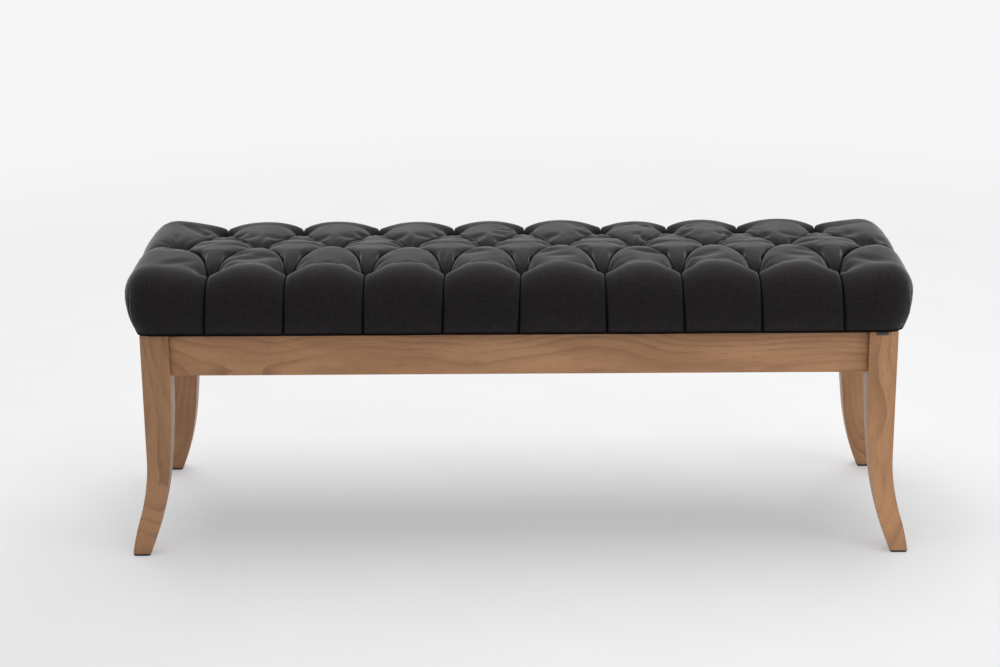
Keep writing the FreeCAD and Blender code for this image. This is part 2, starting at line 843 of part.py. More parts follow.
core = flat_loft(
    [
        core_ring(-8, core_base - 2),
        core_ring(-1, belly_z - 26),
        core_ring(-1, belly_z),
        core_ring(-6, core_top - 10),
        core_ring(-17, core_top),
    ]
)
puffs = []
for side, lip_row in ((-1, front_tufts), (1, back_tufts)):
    for i in range(8):
        puffs.append(border_puff(side, lip_row[i], lip_row[i + 1], middle_tufts[i + 1]))
    puffs.append(corner_puff(-1, side, lip_row[0], middle_tufts[0]))
    puffs.append(corner_puff(1, side, lip_row[8], middle_tufts[9]))
for i in range(9):
    puffs.append(
        diamond_puff(middle_tufts[i], middle_tufts[i + 1], front_tufts[i], back_tufts[i])
    )
for number, puff in enumerate(puffs):
    if not puff.isValid() or puff.Volume <= 0:
        raise RuntimeError(f"puff {number} is not a good solid")
form = core.multiFuse(puffs)

# Tufts pulled down to their buttons: eight-sided funnels.
pits = []
for x, y in tufts:
    rings = []
    for radius, height in (
        (dim("button_radius").mm + 0.4, dim("tuft_floor").mm),
        (dim("tuft_mouth").mm, core_top + 6),
    ):
        rings.append(
            [
                Vector(
                    x.mm + radius * math.cos(math.pi * k / 4),
                    y.mm + radius * math.sin(math.pi * k / 4),
                    height,
                )
                for k in range(8)
            ]
        )
    pits.append(flat_loft(rings))
inside = Part.makeBox(
    dim("board_length").mm,
    dim("board_depth").mm,
    foam_top.mm - board_base.mm,
    Vector(-dim("board_length").mm / 2, -dim("board_depth").mm / 2, board_base.mm),
)
mouth = Part.makeBox(
    dim("board_length").mm - 2 * dim("hem_width").mm,
    dim("board_depth").mm - 2 * dim("hem_width").mm,
    10,
    Vector(
        -dim("board_length").mm / 2 + dim("hem_width").mm,
        -dim("board_depth").mm / 2 + dim("hem_width").mm,
        board_base.mm - 5,
    ),
)
UNDER = 60.0
under = Part.makeBox(
    2 * (belly_x + UNDER),
    2 * (belly_y + UNDER),
    UNDER,
    Vector(-belly_x - UNDER, -belly_y - UNDER, core_base - UNDER),
)

# The ends are drawn in at the bottom: a slanted cut takes the lower edge off both.
wedges = []
for end in (-1, 1):
    corners = [(belly_x - 17, core_base - 1), (belly_x + 9, core_base - 1), (belly_x + 9, belly_z + 14)]
    face = closed_wire([Vector(end * x, -belly_y - UNDER, z) for x, z in corners])
    wedges.append(Part.Face(face).extrude(Vector(0, 2 * (belly_y + UNDER), 0)))
doc.recompute()
form = form.cut([under, inside, mouth] + wedges + pits + [twine_group.Shape])
if len(form.Solids) != 1:
    raise RuntimeError(f"the cover has {len(form.Solids)} solids")
cover = doc.addObject("Part::Feature", "seat_cover")
cover.Shape = form.Solids[0]
cover.Placement = FreeCAD.Placement()
subparts.append(cover)

# Blank cloth tag, sewn in under the right end of the cover's front edge.
tag = new_body("side_tag")
tag_plan = sketch_on(tag, "XY_Plane", "TagPlan", dim("leg_top") + dim("cloth") - dim("tag_drop"))
rectangle(
    tag_plan,
    "tag",
    dim("tag_place") - dim("tag_width") / 2,
    -half_depth - 2.2,
    dim("tag_place") + dim("tag_width") / 2,
    -half_depth - 1.2,
)
pad(tag, tag_plan, "TagPad", dim("tag_drop"))
subparts.append(tag)

doc.recompute()
problems = []
for thing in doc.Objects:
    if "Invalid" in thing.State or "Error" in thing.State:
        problems.append(f"{thing.Label}: {thing.State}")
for thing in subparts:
    if thing.Shape.isNull() or not thing.Shape.isValid():
        problems.append(f"{thing.Label}: bad shape")
    if not thing.Shape.Solids:
        problems.append(f"{thing.Label}: no solid")
if problems:
    raise RuntimeError("; ".join(problems))
os.makedirs("parts", exist_ok=True)
for thing in subparts:
    thing.Shape.exportStep(os.path.join("parts", f"{thing.Label}.step"))
    bounds = thing.Shape.BoundBox
    print(
        f"{thing.Label:28s} solids {len(thing.Shape.Solids):3d}  "
        f"x {bounds.XMin:8.1f} {bounds.XMax:8.1f}  y {bounds.YMin:8.1f} {bounds.YMax:8.1f}  "
        f"z {bounds.ZMin:7.1f} {bounds.ZMax:7.1f}  volume {thing.Shape.Volume / 1000:9.2f} cm3"
    )
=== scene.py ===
"""An upholstered bench: a tufted cushion on a light wooden frame with four curved legs."""

import math

import bmesh
import bpy
import numpy as np
from mathutils import Matrix, Vector


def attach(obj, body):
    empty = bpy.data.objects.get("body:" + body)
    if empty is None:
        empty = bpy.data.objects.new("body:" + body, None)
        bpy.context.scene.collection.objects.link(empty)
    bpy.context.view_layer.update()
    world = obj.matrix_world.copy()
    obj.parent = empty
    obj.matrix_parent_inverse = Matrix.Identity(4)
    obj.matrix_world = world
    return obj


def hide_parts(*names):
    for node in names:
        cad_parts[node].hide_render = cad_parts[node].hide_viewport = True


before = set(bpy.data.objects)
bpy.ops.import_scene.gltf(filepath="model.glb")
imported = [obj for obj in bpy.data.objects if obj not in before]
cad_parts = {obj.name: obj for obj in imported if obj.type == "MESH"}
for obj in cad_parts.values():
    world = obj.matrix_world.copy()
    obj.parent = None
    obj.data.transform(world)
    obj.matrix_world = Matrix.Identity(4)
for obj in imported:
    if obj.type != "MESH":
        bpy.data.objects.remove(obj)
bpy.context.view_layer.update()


def placed(name, data):
    """A new object in the scene."""
    made = bpy.data.objects.new(name, data)
    bpy.context.scene.collection.objects.link(made)
    return made


def built(name, work):
    """A new object from a finished bmesh."""
    mesh = bpy.data.meshes.new(name)
    work.to_mesh(mesh)
    work.free()
    return placed(name, mesh)


# Camera: 1.4 m above the floor in front of the middle, looking down on the bench through a long
# lens, as in the photograph.
EYE = Vector((0.003, -3.423, 1.419))
PITCH = math.radians(18.19)
YAW = math.radians(-0.54)
ROLL = math.radians(-0.51)
SENSOR_WIDTH = 36
FOCAL_LENGTH = 82.19
ahead = (math.sin(YAW) * math.cos(PITCH), math.cos(YAW) * math.cos(PITCH), -math.sin(PITCH))
forward = Vector(ahead)
level_right = Vector((math.cos(YAW), -math.sin(YAW), 0))
level_up = level_right.cross(forward)
right = math.cos(ROLL) * level_right + math.sin(ROLL) * level_up
up = -math.sin(ROLL) * level_right + math.cos(ROLL) * level_up
camera_data = bpy.data.cameras.new("camera")
camera_data.sensor_width = SENSOR_WIDTH
camera_data.lens = FOCAL_LENGTH
camera = placed("camera", camera_data)
camera.matrix_world = Matrix.Translation(EYE) @ Matrix((right, up, -forward)).transposed().to_4x4()
bpy.context.scene.camera = camera


# Wooden frame: four sabre legs and four rails of oiled rubberwood, joined by tenons. The edges are
# eased by hand with sandpaper.
class Value:
    """An output in a tree of nodes; sums on it add their own nodes."""

    def __init__(self, owner, socket):
        self.owner = owner
        self.socket = socket

    def maths(self, operation, *numbers):
        inputs = dict(enumerate(numbers))
        return self.owner.node("ShaderNodeMath", {"operation": operation}, inputs)

    def __add__(self, other):
        return self.maths("ADD", self, other)

    def __sub__(self, other):
        return self.maths("SUBTRACT", self, other)

    def __mul__(self, other):
        return self.maths("MULTIPLY", self, other)

    def __truediv__(self, other):
        return self.maths("DIVIDE", self, other)

    def __radd__(self, other):
        return self.maths("ADD", other, self)

    def __rsub__(self, other):
        return self.maths("SUBTRACT", other, self)

    def __rmul__(self, other):
        return self.maths("MULTIPLY", other, self)

    def power(self, exponent):
        return self.maths("POWER", self, exponent)


class Nodes:
    """A tree of nodes that is written as expressions."""

    def __init__(self, tree):
        self.tree = tree

    def node(self, kind, settings=None, inputs=None, output=0):
        made = self.tree.nodes.new(kind)
        for key, setting in (settings or {}).items():
            setattr(made, key, setting)
        for key, number in (inputs or {}).items():
            if isinstance(number, Value):
                self.tree.links.new(number.socket, made.inputs[key])
            else:
                made.inputs[key].default_value = number
        return Value(self, made.outputs[output])

    def spot(self):
        """The place of each point on its object, in metres."""
        return self.node("ShaderNodeTexCoord", output=3)

    def axis(self, place, number):
        return self.node("ShaderNodeSeparateXYZ", {}, {0: place}, number)

    def join(self, *parts):
        """Several meshes as one."""
        joined = self.node("GeometryNodeJoinGeometry")
        for part in parts:
            self.tree.links.new(part.socket, joined.socket.node.inputs[0])
        return joined

    def blend(self, shader, share, other, output):
        """Shows a shader, and in its place a share of another."""
        inputs = {0: share, 1: Value(self, shader.outputs[0]), 2: other}
        both = self.node("ShaderNodeMixShader", {}, inputs)
        self.tree.links.new(both.socket, self.tree.nodes[output].inputs["Surface"])

    def background_rays(self):
        """1 for the camera's rays and for those that a mirror or glass sends on, 0 for light."""
        kinds = ("Is Camera Ray", "Is Glossy Ray", "Is Transmission Ray")
        seen, mirrored, through = (self.node("ShaderNodeLightPath", {}, {}, k) for k in kinds)
        return seen.maths("MAXIMUM", seen.maths("MAXIMUM", seen, mirrored), through)


class Finish(Nodes):
    """A material made of nodes around one shader."""

    def __init__(self, name, roughness, **plain):
        self.material = bpy.data.materials.new(name)
        self.material.use_nodes = True
        super().__init__(self.material.node_tree)
        self.shader = self.tree.nodes["Principled BSDF"]
        self.shader.inputs["Roughness"].default_value = roughness
        for key, number in plain.items():
            self.shader.inputs[key.replace("_", " ")].default_value = number

    def noise(self, place, scale, detail=2.0, rough=0.5):
        inputs = {"Vector": place, "Scale": scale, "Detail": detail, "Roughness": rough}
        return self.node("ShaderNodeTexNoise", {}, inputs)

    def stretch(self, place, factors, shift=(0, 0, 0)):
        return self.node(
            "ShaderNodeMapping", {}, {"Vector": place, "Scale": factors, "Location": shift}
        )

    def mix(self, share, first, second):
        settings = {"data_type": "RGBA"}
        if not isinstance(first, Value):
            first = (*first, 1)
        if not isinstance(second, Value):
            second = (*second, 1)
        return self.node("ShaderNodeMix", settings, {0: share, 6: first, 7: second}, 2)

    def ramp(self, value, low, high):
        inputs = {0: value, 1: low, 2: high, 3: 0.0, 4: 1.0}
        return self.node("ShaderNodeMapRange", {"interpolation_type": "SMOOTHSTEP"}, inputs)

    def wear(self, name, value):
        self.tree.links.new(value.socket, self.shader.inputs[name])

    def colour(self, share, first, second):
        self.wear("Base Color", self.mix(share, first, second))

    def bump(self, height, distance, strength=1.0):
        raised = self.node(
            "ShaderNodeBump", {}, {"Height": height, "Distance": distance, "Strength": strength}
        )
        self.wear("Normal", raised)


WOOD_PALE = (0.55, 0.285, 0.135)
WOOD_MIDDLE = (0.42, 0.206, 0.094)
WOOD_DARK = (0.225, 0.10, 0.043)
RING_PITCH = 0.0085
WANDER = 0.10


def oiled_wood(name, grain, pith, shift, tone=1.0):
    """Rubberwood with its grain along one axis; pith is where the middle of the tree lay."""
    wood = Finish(name, 0.42)
    pale, middle, dark = (
        tuple(c * tone for c in colour) for colour in (WOOD_PALE, WOOD_MIDDLE, WOOD_DARK)
    )
    place = wood.spot()
    parts = [wood.axis(place, i) for i in range(3)]
    along = parts["xyz".index(grain)]
    across = [parts[i] for i in range(3) if "xyz"[i] != grain]
    length = wood.node("ShaderNodeCombineXYZ", {}, {0: along, 1: across[0], 2: across[1]})
    moved = wood.stretch(length, (1, 1, 1), shift)
    slow = wood.noise(wood.stretch(moved, (2.6, 5, 5)), 1.0, 1.5)
    slow_too = wood.noise(wood.stretch(moved, (3.4, 6, 6), (7, 3, 1)), 1.0, 1.5)
    fine = wood.noise(wood.stretch(moved, (14, 60, 60)), 1.0, 3.0)
    first = across[0] - pith[0] + (slow - 0.5) * WANDER
    second = across[1] - pith[1] + (slow_too - 0.5) * WANDER
    ring = (first * first + second * second).power(0.5) + (fine - 0.5) * 0.004
    rings = ring / RING_PITCH
    wave = rings.maths("FRACT", rings)
    line = wood.ramp(wave, 0.45, 0.97) * (1 - wood.ramp(wave, 0.97, 1.0))
    cloudy = wood.noise(wood.stretch(moved, (5, 22, 22), (1, 5, 2)), 1.0, 3.0, 0.6)
    base = wood.mix(wood.ramp(cloudy, 0.32, 0.68), middle, pale)
    uneven = wood.ramp(wood.noise(wood.stretch(moved, (6, 30, 30)), 1.0), 0.35, 0.65)
    grained = wood.mix(line * (0.15 + 0.36 * uneven), base, dark)
    fibre = wood.noise(wood.stretch(moved, (45, 900, 900)), 1.0, 2.0)
    pores = wood.ramp(fibre, 0.60, 0.72)
    wood.colour(pores * 0.6, grained, dark)
    wood.wear("Roughness", 0.40 + pores * 0.15 + (1 - cloudy) * 0.10)
    wood.bump(1 - pores * 0.8 - line * 0.2, 0.0003, 0.5)
    return wood.material


def paint(piece, material):
    """Puts one material on every face of a piece."""
    piece.data.materials.clear()
    piece.data.materials.append(material)


CORNERS = ("front_left", "front_right", "back_left", "back_right")
FLAT_ANGLE = math.radians(1)
SHARP_ANGLE = math.radians(24)
SHADED_ANGLE = math.radians(32)


def eased(node, radius, material):
    """A rigid piece with its sharp edges rounded, in place of its CAD node."""
    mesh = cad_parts[node].data.copy()
    work = bmesh.new()
    work.from_mesh(mesh)
    bmesh.ops.remove_doubles(work, verts=work.verts, dist=2e-6)
    bmesh.ops.dissolve_limit(work, angle_limit=FLAT_ANGLE, verts=work.verts, edges=work.edges)
    sharp = [e for e in work.edges if e.is_manifold and e.calc_face_angle(0) > SHARP_ANGLE]
    bmesh.ops.bevel(
        work, geom=sharp, offset=radius, segments=3, profile=0.5, affect="EDGES", clamp_overlap=True
    )
    for face in work.faces:
        face.smooth = True
    work.to_mesh(mesh)
    work.free()
    piece = placed(node + "_eased", mesh)
    mesh.set_sharp_from_angle(angle=SHADED_ANGLE)
    paint(piece, material)
    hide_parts(node)
    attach(piece, "root")
    return piece


PITHS = ((-0.545, -0.02), (0.50, 0.03), (-0.60, 0.03), (0.62, 0.04))
# Painted shade: the left legs are painted darker than the right ones, for the light that falls from
# the right.
LEG_SHADE_TONES = (0.79, 1.02, 0.9, 1.0)
for index, (place, pith, tone) in enumerate(zip(CORNERS, PITHS, LEG_SHADE_TONES)):
    grain = oiled_wood("leg wood " + place, "z", pith, (index * 0.7, 0.3, 0.1), tone)
    eased("leg_" + place, 0.0015, grain)

long_grain = oiled_wood("long rail wood", "x", (-0.245, 0.27), (0.9, 0.2, 0.6))
side_grain = oiled_wood("side rail wood", "y", (0.44, 0.25), (3.1, 0.5, 0.2))
for place in ("front", "back"):
    eased("rail_" + place, 0.0012, long_grain)
for place in ("left", "right"):
    eased("rail_" + place, 0.0012, side_grain)


# Corner blocks and cross slats: plain sawn wood under the seat, glued and screwed to the rails.
# They carry no finish.
SAWN_PALE = (0.52, 0.36, 0.20)
sawn = Finish("sawn wood", 0.75)
spot = sawn.spot()
streaks = sawn.noise(sawn.stretch(spot, (60, 8, 60)), 1.0, 3.0)
saw_marks = sawn.noise(sawn.stretch(spot, (400, 25, 60)), 1.0, 1.0)
sawn.colour(sawn.ramp(streaks, 0.3, 0.75), SAWN_PALE, WOOD_MIDDLE)
sawn.wear("Roughness", 0.68 + saw_marks * 0.2)
sawn.bump(saw_marks, 0.0004, 0.6)
for place in CORNERS:
    eased("corner_block_" + place, 0.001, sawn.material)
for place in ("left", "right"):
    eased("cross_slat_" + place, 0.001, sawn.material)


# Foot pads: black plastic squares with eased corners. They are moulded with a rough face and
# glued under the feet.
pad_plastic = Finish("black pad plastic", 0.55)
grit = pad_plastic.noise(pad_plastic.spot(), 900.0, 2.0)
pad_plastic.colour(grit, (0.012, 0.012, 0.012), (0.03, 0.03, 0.03))
pad_plastic.bump(grit, 0.0002, 0.4)
for place in CORNERS:
    eased("glide_" + place, 0.0008, pad_plastic.material)


# Corner bolts: zinc-plated hanger bolts that draw each leg into its corner, with a washer and a
# hexagon nut against the corner block. The thread is rolled.
zinc = Finish("bright zinc", 0.32, Metallic=1.0)
bloom = zinc.noise(zinc.spot(), 240.0, 3.0, 0.6)
zinc.colour(bloom, (0.52, 0.53, 0.55), (0.72, 0.72, 0.70))
zinc.wear("Roughness", 0.25 + bloom * 0.2)
THREAD_PITCH = 1.5
THREAD_DEEP = 0.5
INNER_CORNER = (538.0, 136.0)
BLOCK_MIDDLE = 22
BOLT_HEIGHT = 317.0
BOLT_LENGTH = 71
BOLT_INWARD = 41
BOLT_RADIUS = 3
BOLT_SIDES = 12
BOLT_STEPS = 190
DIAGONAL = math.sqrt(0.5)
bolt_work = bmesh.new()
for end in (-1, 1):
    for side in (-1, 1):
        way = Vector((end * DIAGONAL, side * DIAGONAL, 0))
        aside = Vector((-way.y, way.x, 0))
        corner = Vector((end * INNER_CORNER[0], side * INNER_CORNER[1], BOLT_HEIGHT))
        start = corner - way * BOLT_INWARD
        rings = []
        for step in range(BOLT_STEPS + 1):
            at = step * BOLT_LENGTH / BOLT_STEPS
            tip = 1 if at > 1 else 1.4
            ring = []
            for k in range(BOLT_SIDES):
                turn = k * math.tau / BOLT_SIDES
                phase = (at / THREAD_PITCH - k / BOLT_SIDES) % 1
                radius = BOLT_RADIUS - THREAD_DEEP * abs(2 * phase - 1) * tip
                spoke = math.cos(turn) * aside + math.sin(turn) * Vector((0, 0, 1))
                place = start + way * at + radius * spoke
                ring.append(bolt_work.verts.new(place * 0.001))
            rings.append(ring)
        for one, two in zip(rings, rings[1:]):
            for k in range(BOLT_SIDES):
                bolt_work.faces.new((one[k], one[k - 1], two[k - 1], two[k]))
        bolt_work.faces.new(rings[0])
        bolt_work.faces.new(rings[-1])
bmesh.ops.recalc_face_normals(bolt_work, faces=bolt_work.faces)
bolts = built("threaded_bolts", bolt_work)
paint(bolts, zinc.material)
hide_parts("hanger_bolts")
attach(bolts, "root")
eased("bolt_nuts", 0.0005, zinc.material)


# Screws: zinc countersunk wood screws with a recess in the head. Two hold each corner block, and
# two in each slat go up into the seat board.
def repeated(name, places, turns, shape, material, sizes):
    """Like small pieces made by geometry nodes, one on each place (mm), turned by its angles."""
    mesh = bpy.data.meshes.new(name)
    mesh.from_pydata([[c * 0.001 for c in place] for place in places], [], [])
    angles = mesh.attributes.new("turn", "FLOAT_VECTOR", "POINT")
    angles.data.foreach_set("vector", np.array(turns, float).ravel())
    tree = bpy.data.node_groups.new(name, "GeometryNodeTree")
    tree.interface.new_socket("Geometry", in_out="INPUT", socket_type="NodeSocketGeometry")
    for label in sizes:
        tree.interface.new_socket(label, in_out="INPUT", socket_type="NodeSocketFloat")
    tree.interface.new_socket("Geometry", in_out="OUTPUT", socket_type="NodeSocketGeometry")
    maker = Nodes(tree)
    entry = tree.nodes.new("NodeGroupInput")
    given = {socket.name: Value(maker, socket) for socket in entry.outputs if socket.name}
    stored = maker.node(
        "GeometryNodeInputNamedAttribute", {"data_type": "FLOAT_VECTOR"}, {"Name": "turn"}
    )
    turned = maker.node("FunctionNodeEulerToRotation", {}, {"Euler": stored})
    one = shape(maker, given)
    parts = {"Points": given["Geometry"], "Instance": one, "Rotation": turned}
    spread = maker.node("GeometryNodeInstanceOnPoints", {}, parts)
    real = maker.node("GeometryNodeRealizeInstances", {}, {"Geometry": spread})
    painted = maker.node("GeometryNodeSetMaterial", {}, {"Geometry": real, "Material": material})
    result = tree.nodes.new("NodeGroupOutput")
    tree.links.new(painted.socket, result.inputs[0])
    piece = placed(name, mesh)
    modifier = piece.modifiers.new("repeat", "NODES")
    modifier.node_group = tree
    for item in tree.interface.items_tree:
        if item.in_out == "INPUT" and item.name in sizes:
            modifier[item.identifier] = sizes[item.name]
    graph = bpy.context.evaluated_depsgraph_get()
    made = bpy.data.meshes.new_from_object(piece.evaluated_get(graph))
    piece.modifiers.clear()
    piece.data = made
    made.set_sharp_from_angle(angle=math.radians(35))
    return piece


HEAD_RIM = 0.00002
SCREW_ASIDE = 18
SCREW_PROUD = 0.3


def screw_shape(maker, given):
    """A countersunk head with a recess, its face at height 0 and its shank below."""
    head = {
        "Vertices": 12,
        "Radius Top": given["Head Radius"],
        "Radius Bottom": given["Shank Radius"],
        "Depth": given["Head Depth"],
    }
    cone = maker.node("GeometryNodeMeshCone", {"fill_type": "NGON"}, head)
    top = Value(maker, cone.socket.node.outputs["Top"])
    rim = maker.node(
        "GeometryNodeExtrudeMesh", {}, {"Mesh": cone, "Selection": top, "Offset Scale": HEAD_RIM}
    )
    face = Value(maker, rim.socket.node.outputs["Top"])
    inset = maker.node(
        "GeometryNodeScaleElements", {}, {"Geometry": rim, "Selection": face, "Scale": 0.45}
    )
    sink = {"Mesh": inset, "Selection": face, "Offset Scale": given["Recess Depth"] * -1}
    sunk = maker.node("GeometryNodeExtrudeMesh", {}, sink)
    down = maker.node("ShaderNodeCombineXYZ", {}, {2: given["Head Depth"] * -1 - HEAD_RIM})
    lowered = maker.node("GeometryNodeTransform", {}, {"Geometry": sunk, "Translation": down})
    rod = {"Vertices": 8, "Radius": given["Shank Radius"], "Depth": given["Length"]}
    shank = maker.node("GeometryNodeMeshCylinder", {"fill_type": "NGON"}, rod)
    low = maker.node("ShaderNodeCombineXYZ", {}, {2: given["Length"] * -0.5 - given["Head Depth"]})
    hung = maker.node("GeometryNodeTransform", {}, {"Geometry": shank, "Translation": low})
    return maker.join(lowered, hung)


places = []
turns = []
for end in (-1, 1):
    for side in (-1, 1):
        inward = math.atan2(-side, -end)
        for offset in (-SCREW_ASIDE, SCREW_ASIDE):
            x = end * (INNER_CORNER[0] - BLOCK_MIDDLE) + offset * DIAGONAL * -side
            y = side * (INNER_CORNER[1] - BLOCK_MIDDLE) + offset * DIAGONAL * end
            places.append((x - end * SCREW_PROUD, y - side * SCREW_PROUD, BOLT_HEIGHT))
            turns.append((0, math.pi / 2, inward))
        places.append((end * 190, side * 90, 330.7))
        turns.append((math.pi, 0, 0))
sizes = {
    "Head Radius": 0.0042,
    "Shank Radius": 0.0018,
    "Head Depth": 0.0026,
    "Recess Depth": 0.0014,
    "Length": 0.018,
}
screws = repeated("wood_screws", places, turns, screw_shape, zinc.material, sizes)
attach(screws, "root")


WASHER_MIDDLE = 0.55


def ring_shape(maker, given):
    """A flat washer that stands on its place."""
    inputs = {
        "Vertices": 20,
        "Side Segments": 1,
        "Fill Segments": 1,
        "Radius": given["Radius"],
        "Depth": given["Thickness"],
    }
    return maker.node("GeometryNodeMeshCylinder", {"fill_type": "NGON"}, inputs)


places = []
turns = []
for end in (-1, 1):
    for side in (-1, 1):
        x, y = (c - BLOCK_MIDDLE - WASHER_MIDDLE * DIAGONAL for c in INNER_CORNER)
        places.append((end * x, side * y, BOLT_HEIGHT))
        turns.append((0, math.pi / 2, math.atan2(-side, -end)))
sizes = {"Radius": 0.0078, "Thickness": 0.0011}
washers = repeated("bolt_washers", places, turns, ring_shape, zinc.material, sizes)
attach(washers, "root")


# Seat board: a sheet of birch plywood cut square, under the foam. Its edges show the plies.
PLY = 0.0015
plies = Finish("plywood", 0.7)
spot = plies.spot()
layer = plies.axis(spot, 2) / PLY
share = layer.maths("FRACT", layer * 0.5)
fibre = plies.noise(plies.stretch(spot, (12, 220, 900)), 1.0, 3.0)
face_colour = plies.mix(fibre, (0.56, 0.40, 0.23), (0.70, 0.54, 0.35))
cross_ply = plies.ramp(share, 0.46, 0.54) * 0.6
plies.colour(cross_ply, face_colour, (0.40, 0.25, 0.13))
plies.wear("Roughness", 0.62 + fibre * 0.15)
plies.bump(fibre, 0.0002, 0.5)
eased("seat_board", 0.001, plies.material)


# Foam: a flat block of firm cut foam, glued on the board. It carries the weight under the fibre
# filling of the cushion.
cut_foam = Finish("cut foam", 0.9)
spot = cut_foam.spot()
cells = cut_foam.node("ShaderNodeTexVoronoi", {}, {"Vector": spot, "Scale": 700.0})
cut_foam.colour(cells, (0.74, 0.68, 0.46), (0.86, 0.81, 0.62))
cut_foam.bump(cells, 0.0005, 0.7)
foam = eased("seat_foam", 0.003, cut_foam.material)


# Cushion: a cover of dark linen-look cloth over fibre and foam. Twines pull it down at 28 tufts,
# and the spare cloth between them is tucked into folds that run from tuft to tuft.
TUFT_PITCH = 117.5
ROW = 134.0
FRONT_TUFTS = [7 + TUFT_PITCH * (i - 4) + d for i, d in enumerate([1, 0, 0, 2, -2, 4, 0, -2, 0])]
MIDDLE_DRIFT = [-3, 3, 0, 2, 2, 0, 1, 0, -4, 8]
MIDDLE_TUFTS = [7 + TUFT_PITCH * (i - 4.5) + d for i, d in enumerate(MIDDLE_DRIFT)]
BACK_TUFTS = [7 + TUFT_PITCH * (i - 4) + d for i, d in enumerate([-9, -3, 2, 6, 3, 8, -2, -5, 2])]
FRONT_FEET = [-471, -352, -233, -114, 0, 133, 249, 365, 488]
BACK_FEET = [-470, -348, -223, -103, 12, 142, 245, 357, 489]
PLATE_X = 547.0
PLATE_Y = 141.0
LIP = 40.0
CLOTH_TOP = 433.0
CLOTH_LOW = 350.3
QUARTER = LIP * math.pi / 2
WALL = CLOTH_TOP - LIP - CLOTH_LOW
REACH = QUARTER + WALL
RIM_X = PLATE_X + REACH
RIM_Y = PLATE_Y + REACH
COLUMNS = 36
FACE_ROWS = 36
TOP_ROWS = 52
TUFT_FLOOR = 398.4
TUFT_HALF = 6.0
TUFT_SLOPE = 8.5
TOP_BEND = 0.72
SLACK_REACH = 12
FOLD_WIDTH = 2.4
FOLD_LAP = 2.0
REAR_CRISP = 0.35
CORNER_FOLDS = {-1: math.radians(47), 1: math.radians(57)}
CORNER_FLAP = 1.5
CORNER_DROP = 10.0
CORNER_STEP = 1.2
LAST_FRAME = 20
MOST_SLACK = 5.0
LOOSE_STEP = 20
WELD_STEP = 500
WELD_SHIFT = 0.137
HEM_HEIGHT = 0.3502
HEM_DEPTH = 0.008


def spaced(count, ends):
    """Shares from 0 to 1, closer together at both ends."""
    even = np.linspace(0, 1, count + 1)
    return (1 - ends) * even + ends * (0.5 - 0.5 * np.cos(np.pi * even))


def smooth(low, high, value):
    """0 below low, 1 above high, and an easy curve between."""
    t = np.clip((value - low) / (high - low), 0, 1)
    return t * t * (3 - 2 * t)


def across_and_along(p, a, b):
    """Distance of flat points from the line a to b, to its left, and how far along it they lie."""
    a = np.asarray(a, float)
    run = np.asarray(b, float) - a
    length = np.linalg.norm(run)
    run = run / length
    off = p - a
    return off[..., 1] * run[0] - off[..., 0] * run[1], (off @ run) / length, run


def on_cushion(p):
    """The bare shape under the puffs: places, outward ways and distances from the flat top."""
    inner = np.stack(
        [np.clip(p[..., 0], -PLATE_X, PLATE_X), np.clip(p[..., 1], -PLATE_Y, PLATE_Y)], -1
    )
    off = p - inner
    d = np.linalg.norm(off, axis=-1)
    way = off / np.maximum(d, 1e-9)[..., None]
    turn = np.minimum(d / LIP, math.pi / 2)
    down = np.maximum(d - QUARTER, 0)
    lean = 9.0 * (down / WALL) ** 2.2
    out = LIP * np.sin(turn) - lean
    z = CLOTH_TOP - LIP * (1 - np.cos(turn)) - down
    rise = np.interp(p[..., 1], [-170, -134, -60, 0, 60, 134, 170], [4, 2, 7, 4, -3, -9, -10])
    z = z + rise * (1 - smooth(0.6, 1.4, turn))
    spot = np.concatenate([inner + way * out[..., None], z[..., None]], -1)
    face = np.concatenate([way * np.sin(turn)[..., None], np.cos(turn)[..., None]], -1)
    return spot, face, d


patches = []
sides_of_bench = ((-1, FRONT_TUFTS, FRONT_FEET), (1, BACK_TUFTS, BACK_FEET))
face_shares = spaced(FACE_ROWS, 0.45)
top_shares = spaced(TOP_ROWS, 0.55)
column_shares = spaced(COLUMNS, 0.8)


def between(levels, side):
    """A grid of flat points from rows of (left, right, distance from the middle)."""
    levels = np.array(levels)
    x = levels[:, :1] + (levels[:, 1:2] - levels[:, :1]) * column_shares[None, :]
    return np.stack([x, np.repeat(side * levels[:, 2:3], COLUMNS + 1, axis=1)], -1)


for side, row, feet in sides_of_bench:
    for i in range(8):
        left, other, tip = row[i], row[i + 1], MIDDLE_TUFTS[i + 1]
        levels = []
        for t in face_shares:
            a = feet[i] + (left - feet[i]) * t
            b = feet[i + 1] + (other - feet[i + 1]) * t
            levels.append((a, b, RIM_Y + (ROW - RIM_Y) * t))
        for t in top_shares[1:]:
            levels.append((left + (tip - left) * t, other + (tip - other) * t, ROW * (1 - t)))
        sides = [
            ((feet[i], side * RIM_Y), (left, side * ROW), "seam"),
            ((feet[i + 1], side * RIM_Y), (other, side * ROW), "seam"),
            ((left, side * ROW), (tip, 0), "fold"),
            ((other, side * ROW), (tip, 0), "fold"),
        ]
        patches.append((between(levels, side), sides, "front" if side < 0 else "back"))

for i in range(9):
    left, other = MIDDLE_TUFTS[i], MIDDLE_TUFTS[i + 1]
    levels = []
    sides = []
    for side, tip in ((-1, FRONT_TUFTS[i]), (1, BACK_TUFTS[i])):
        for t in top_shares if side < 0 else top_shares[::-1][1:]:
            a = tip + (left - tip) * t
            b = tip + (other - tip) * t
            levels.append((a, b, side * ROW * (1 - t)))
        sides.append(((tip, side * ROW), (left, 0), "fold"))
        sides.append(((tip, side * ROW), (other, 0), "fold"))
    patches.append((between(levels, 1), sides, "diamond"))


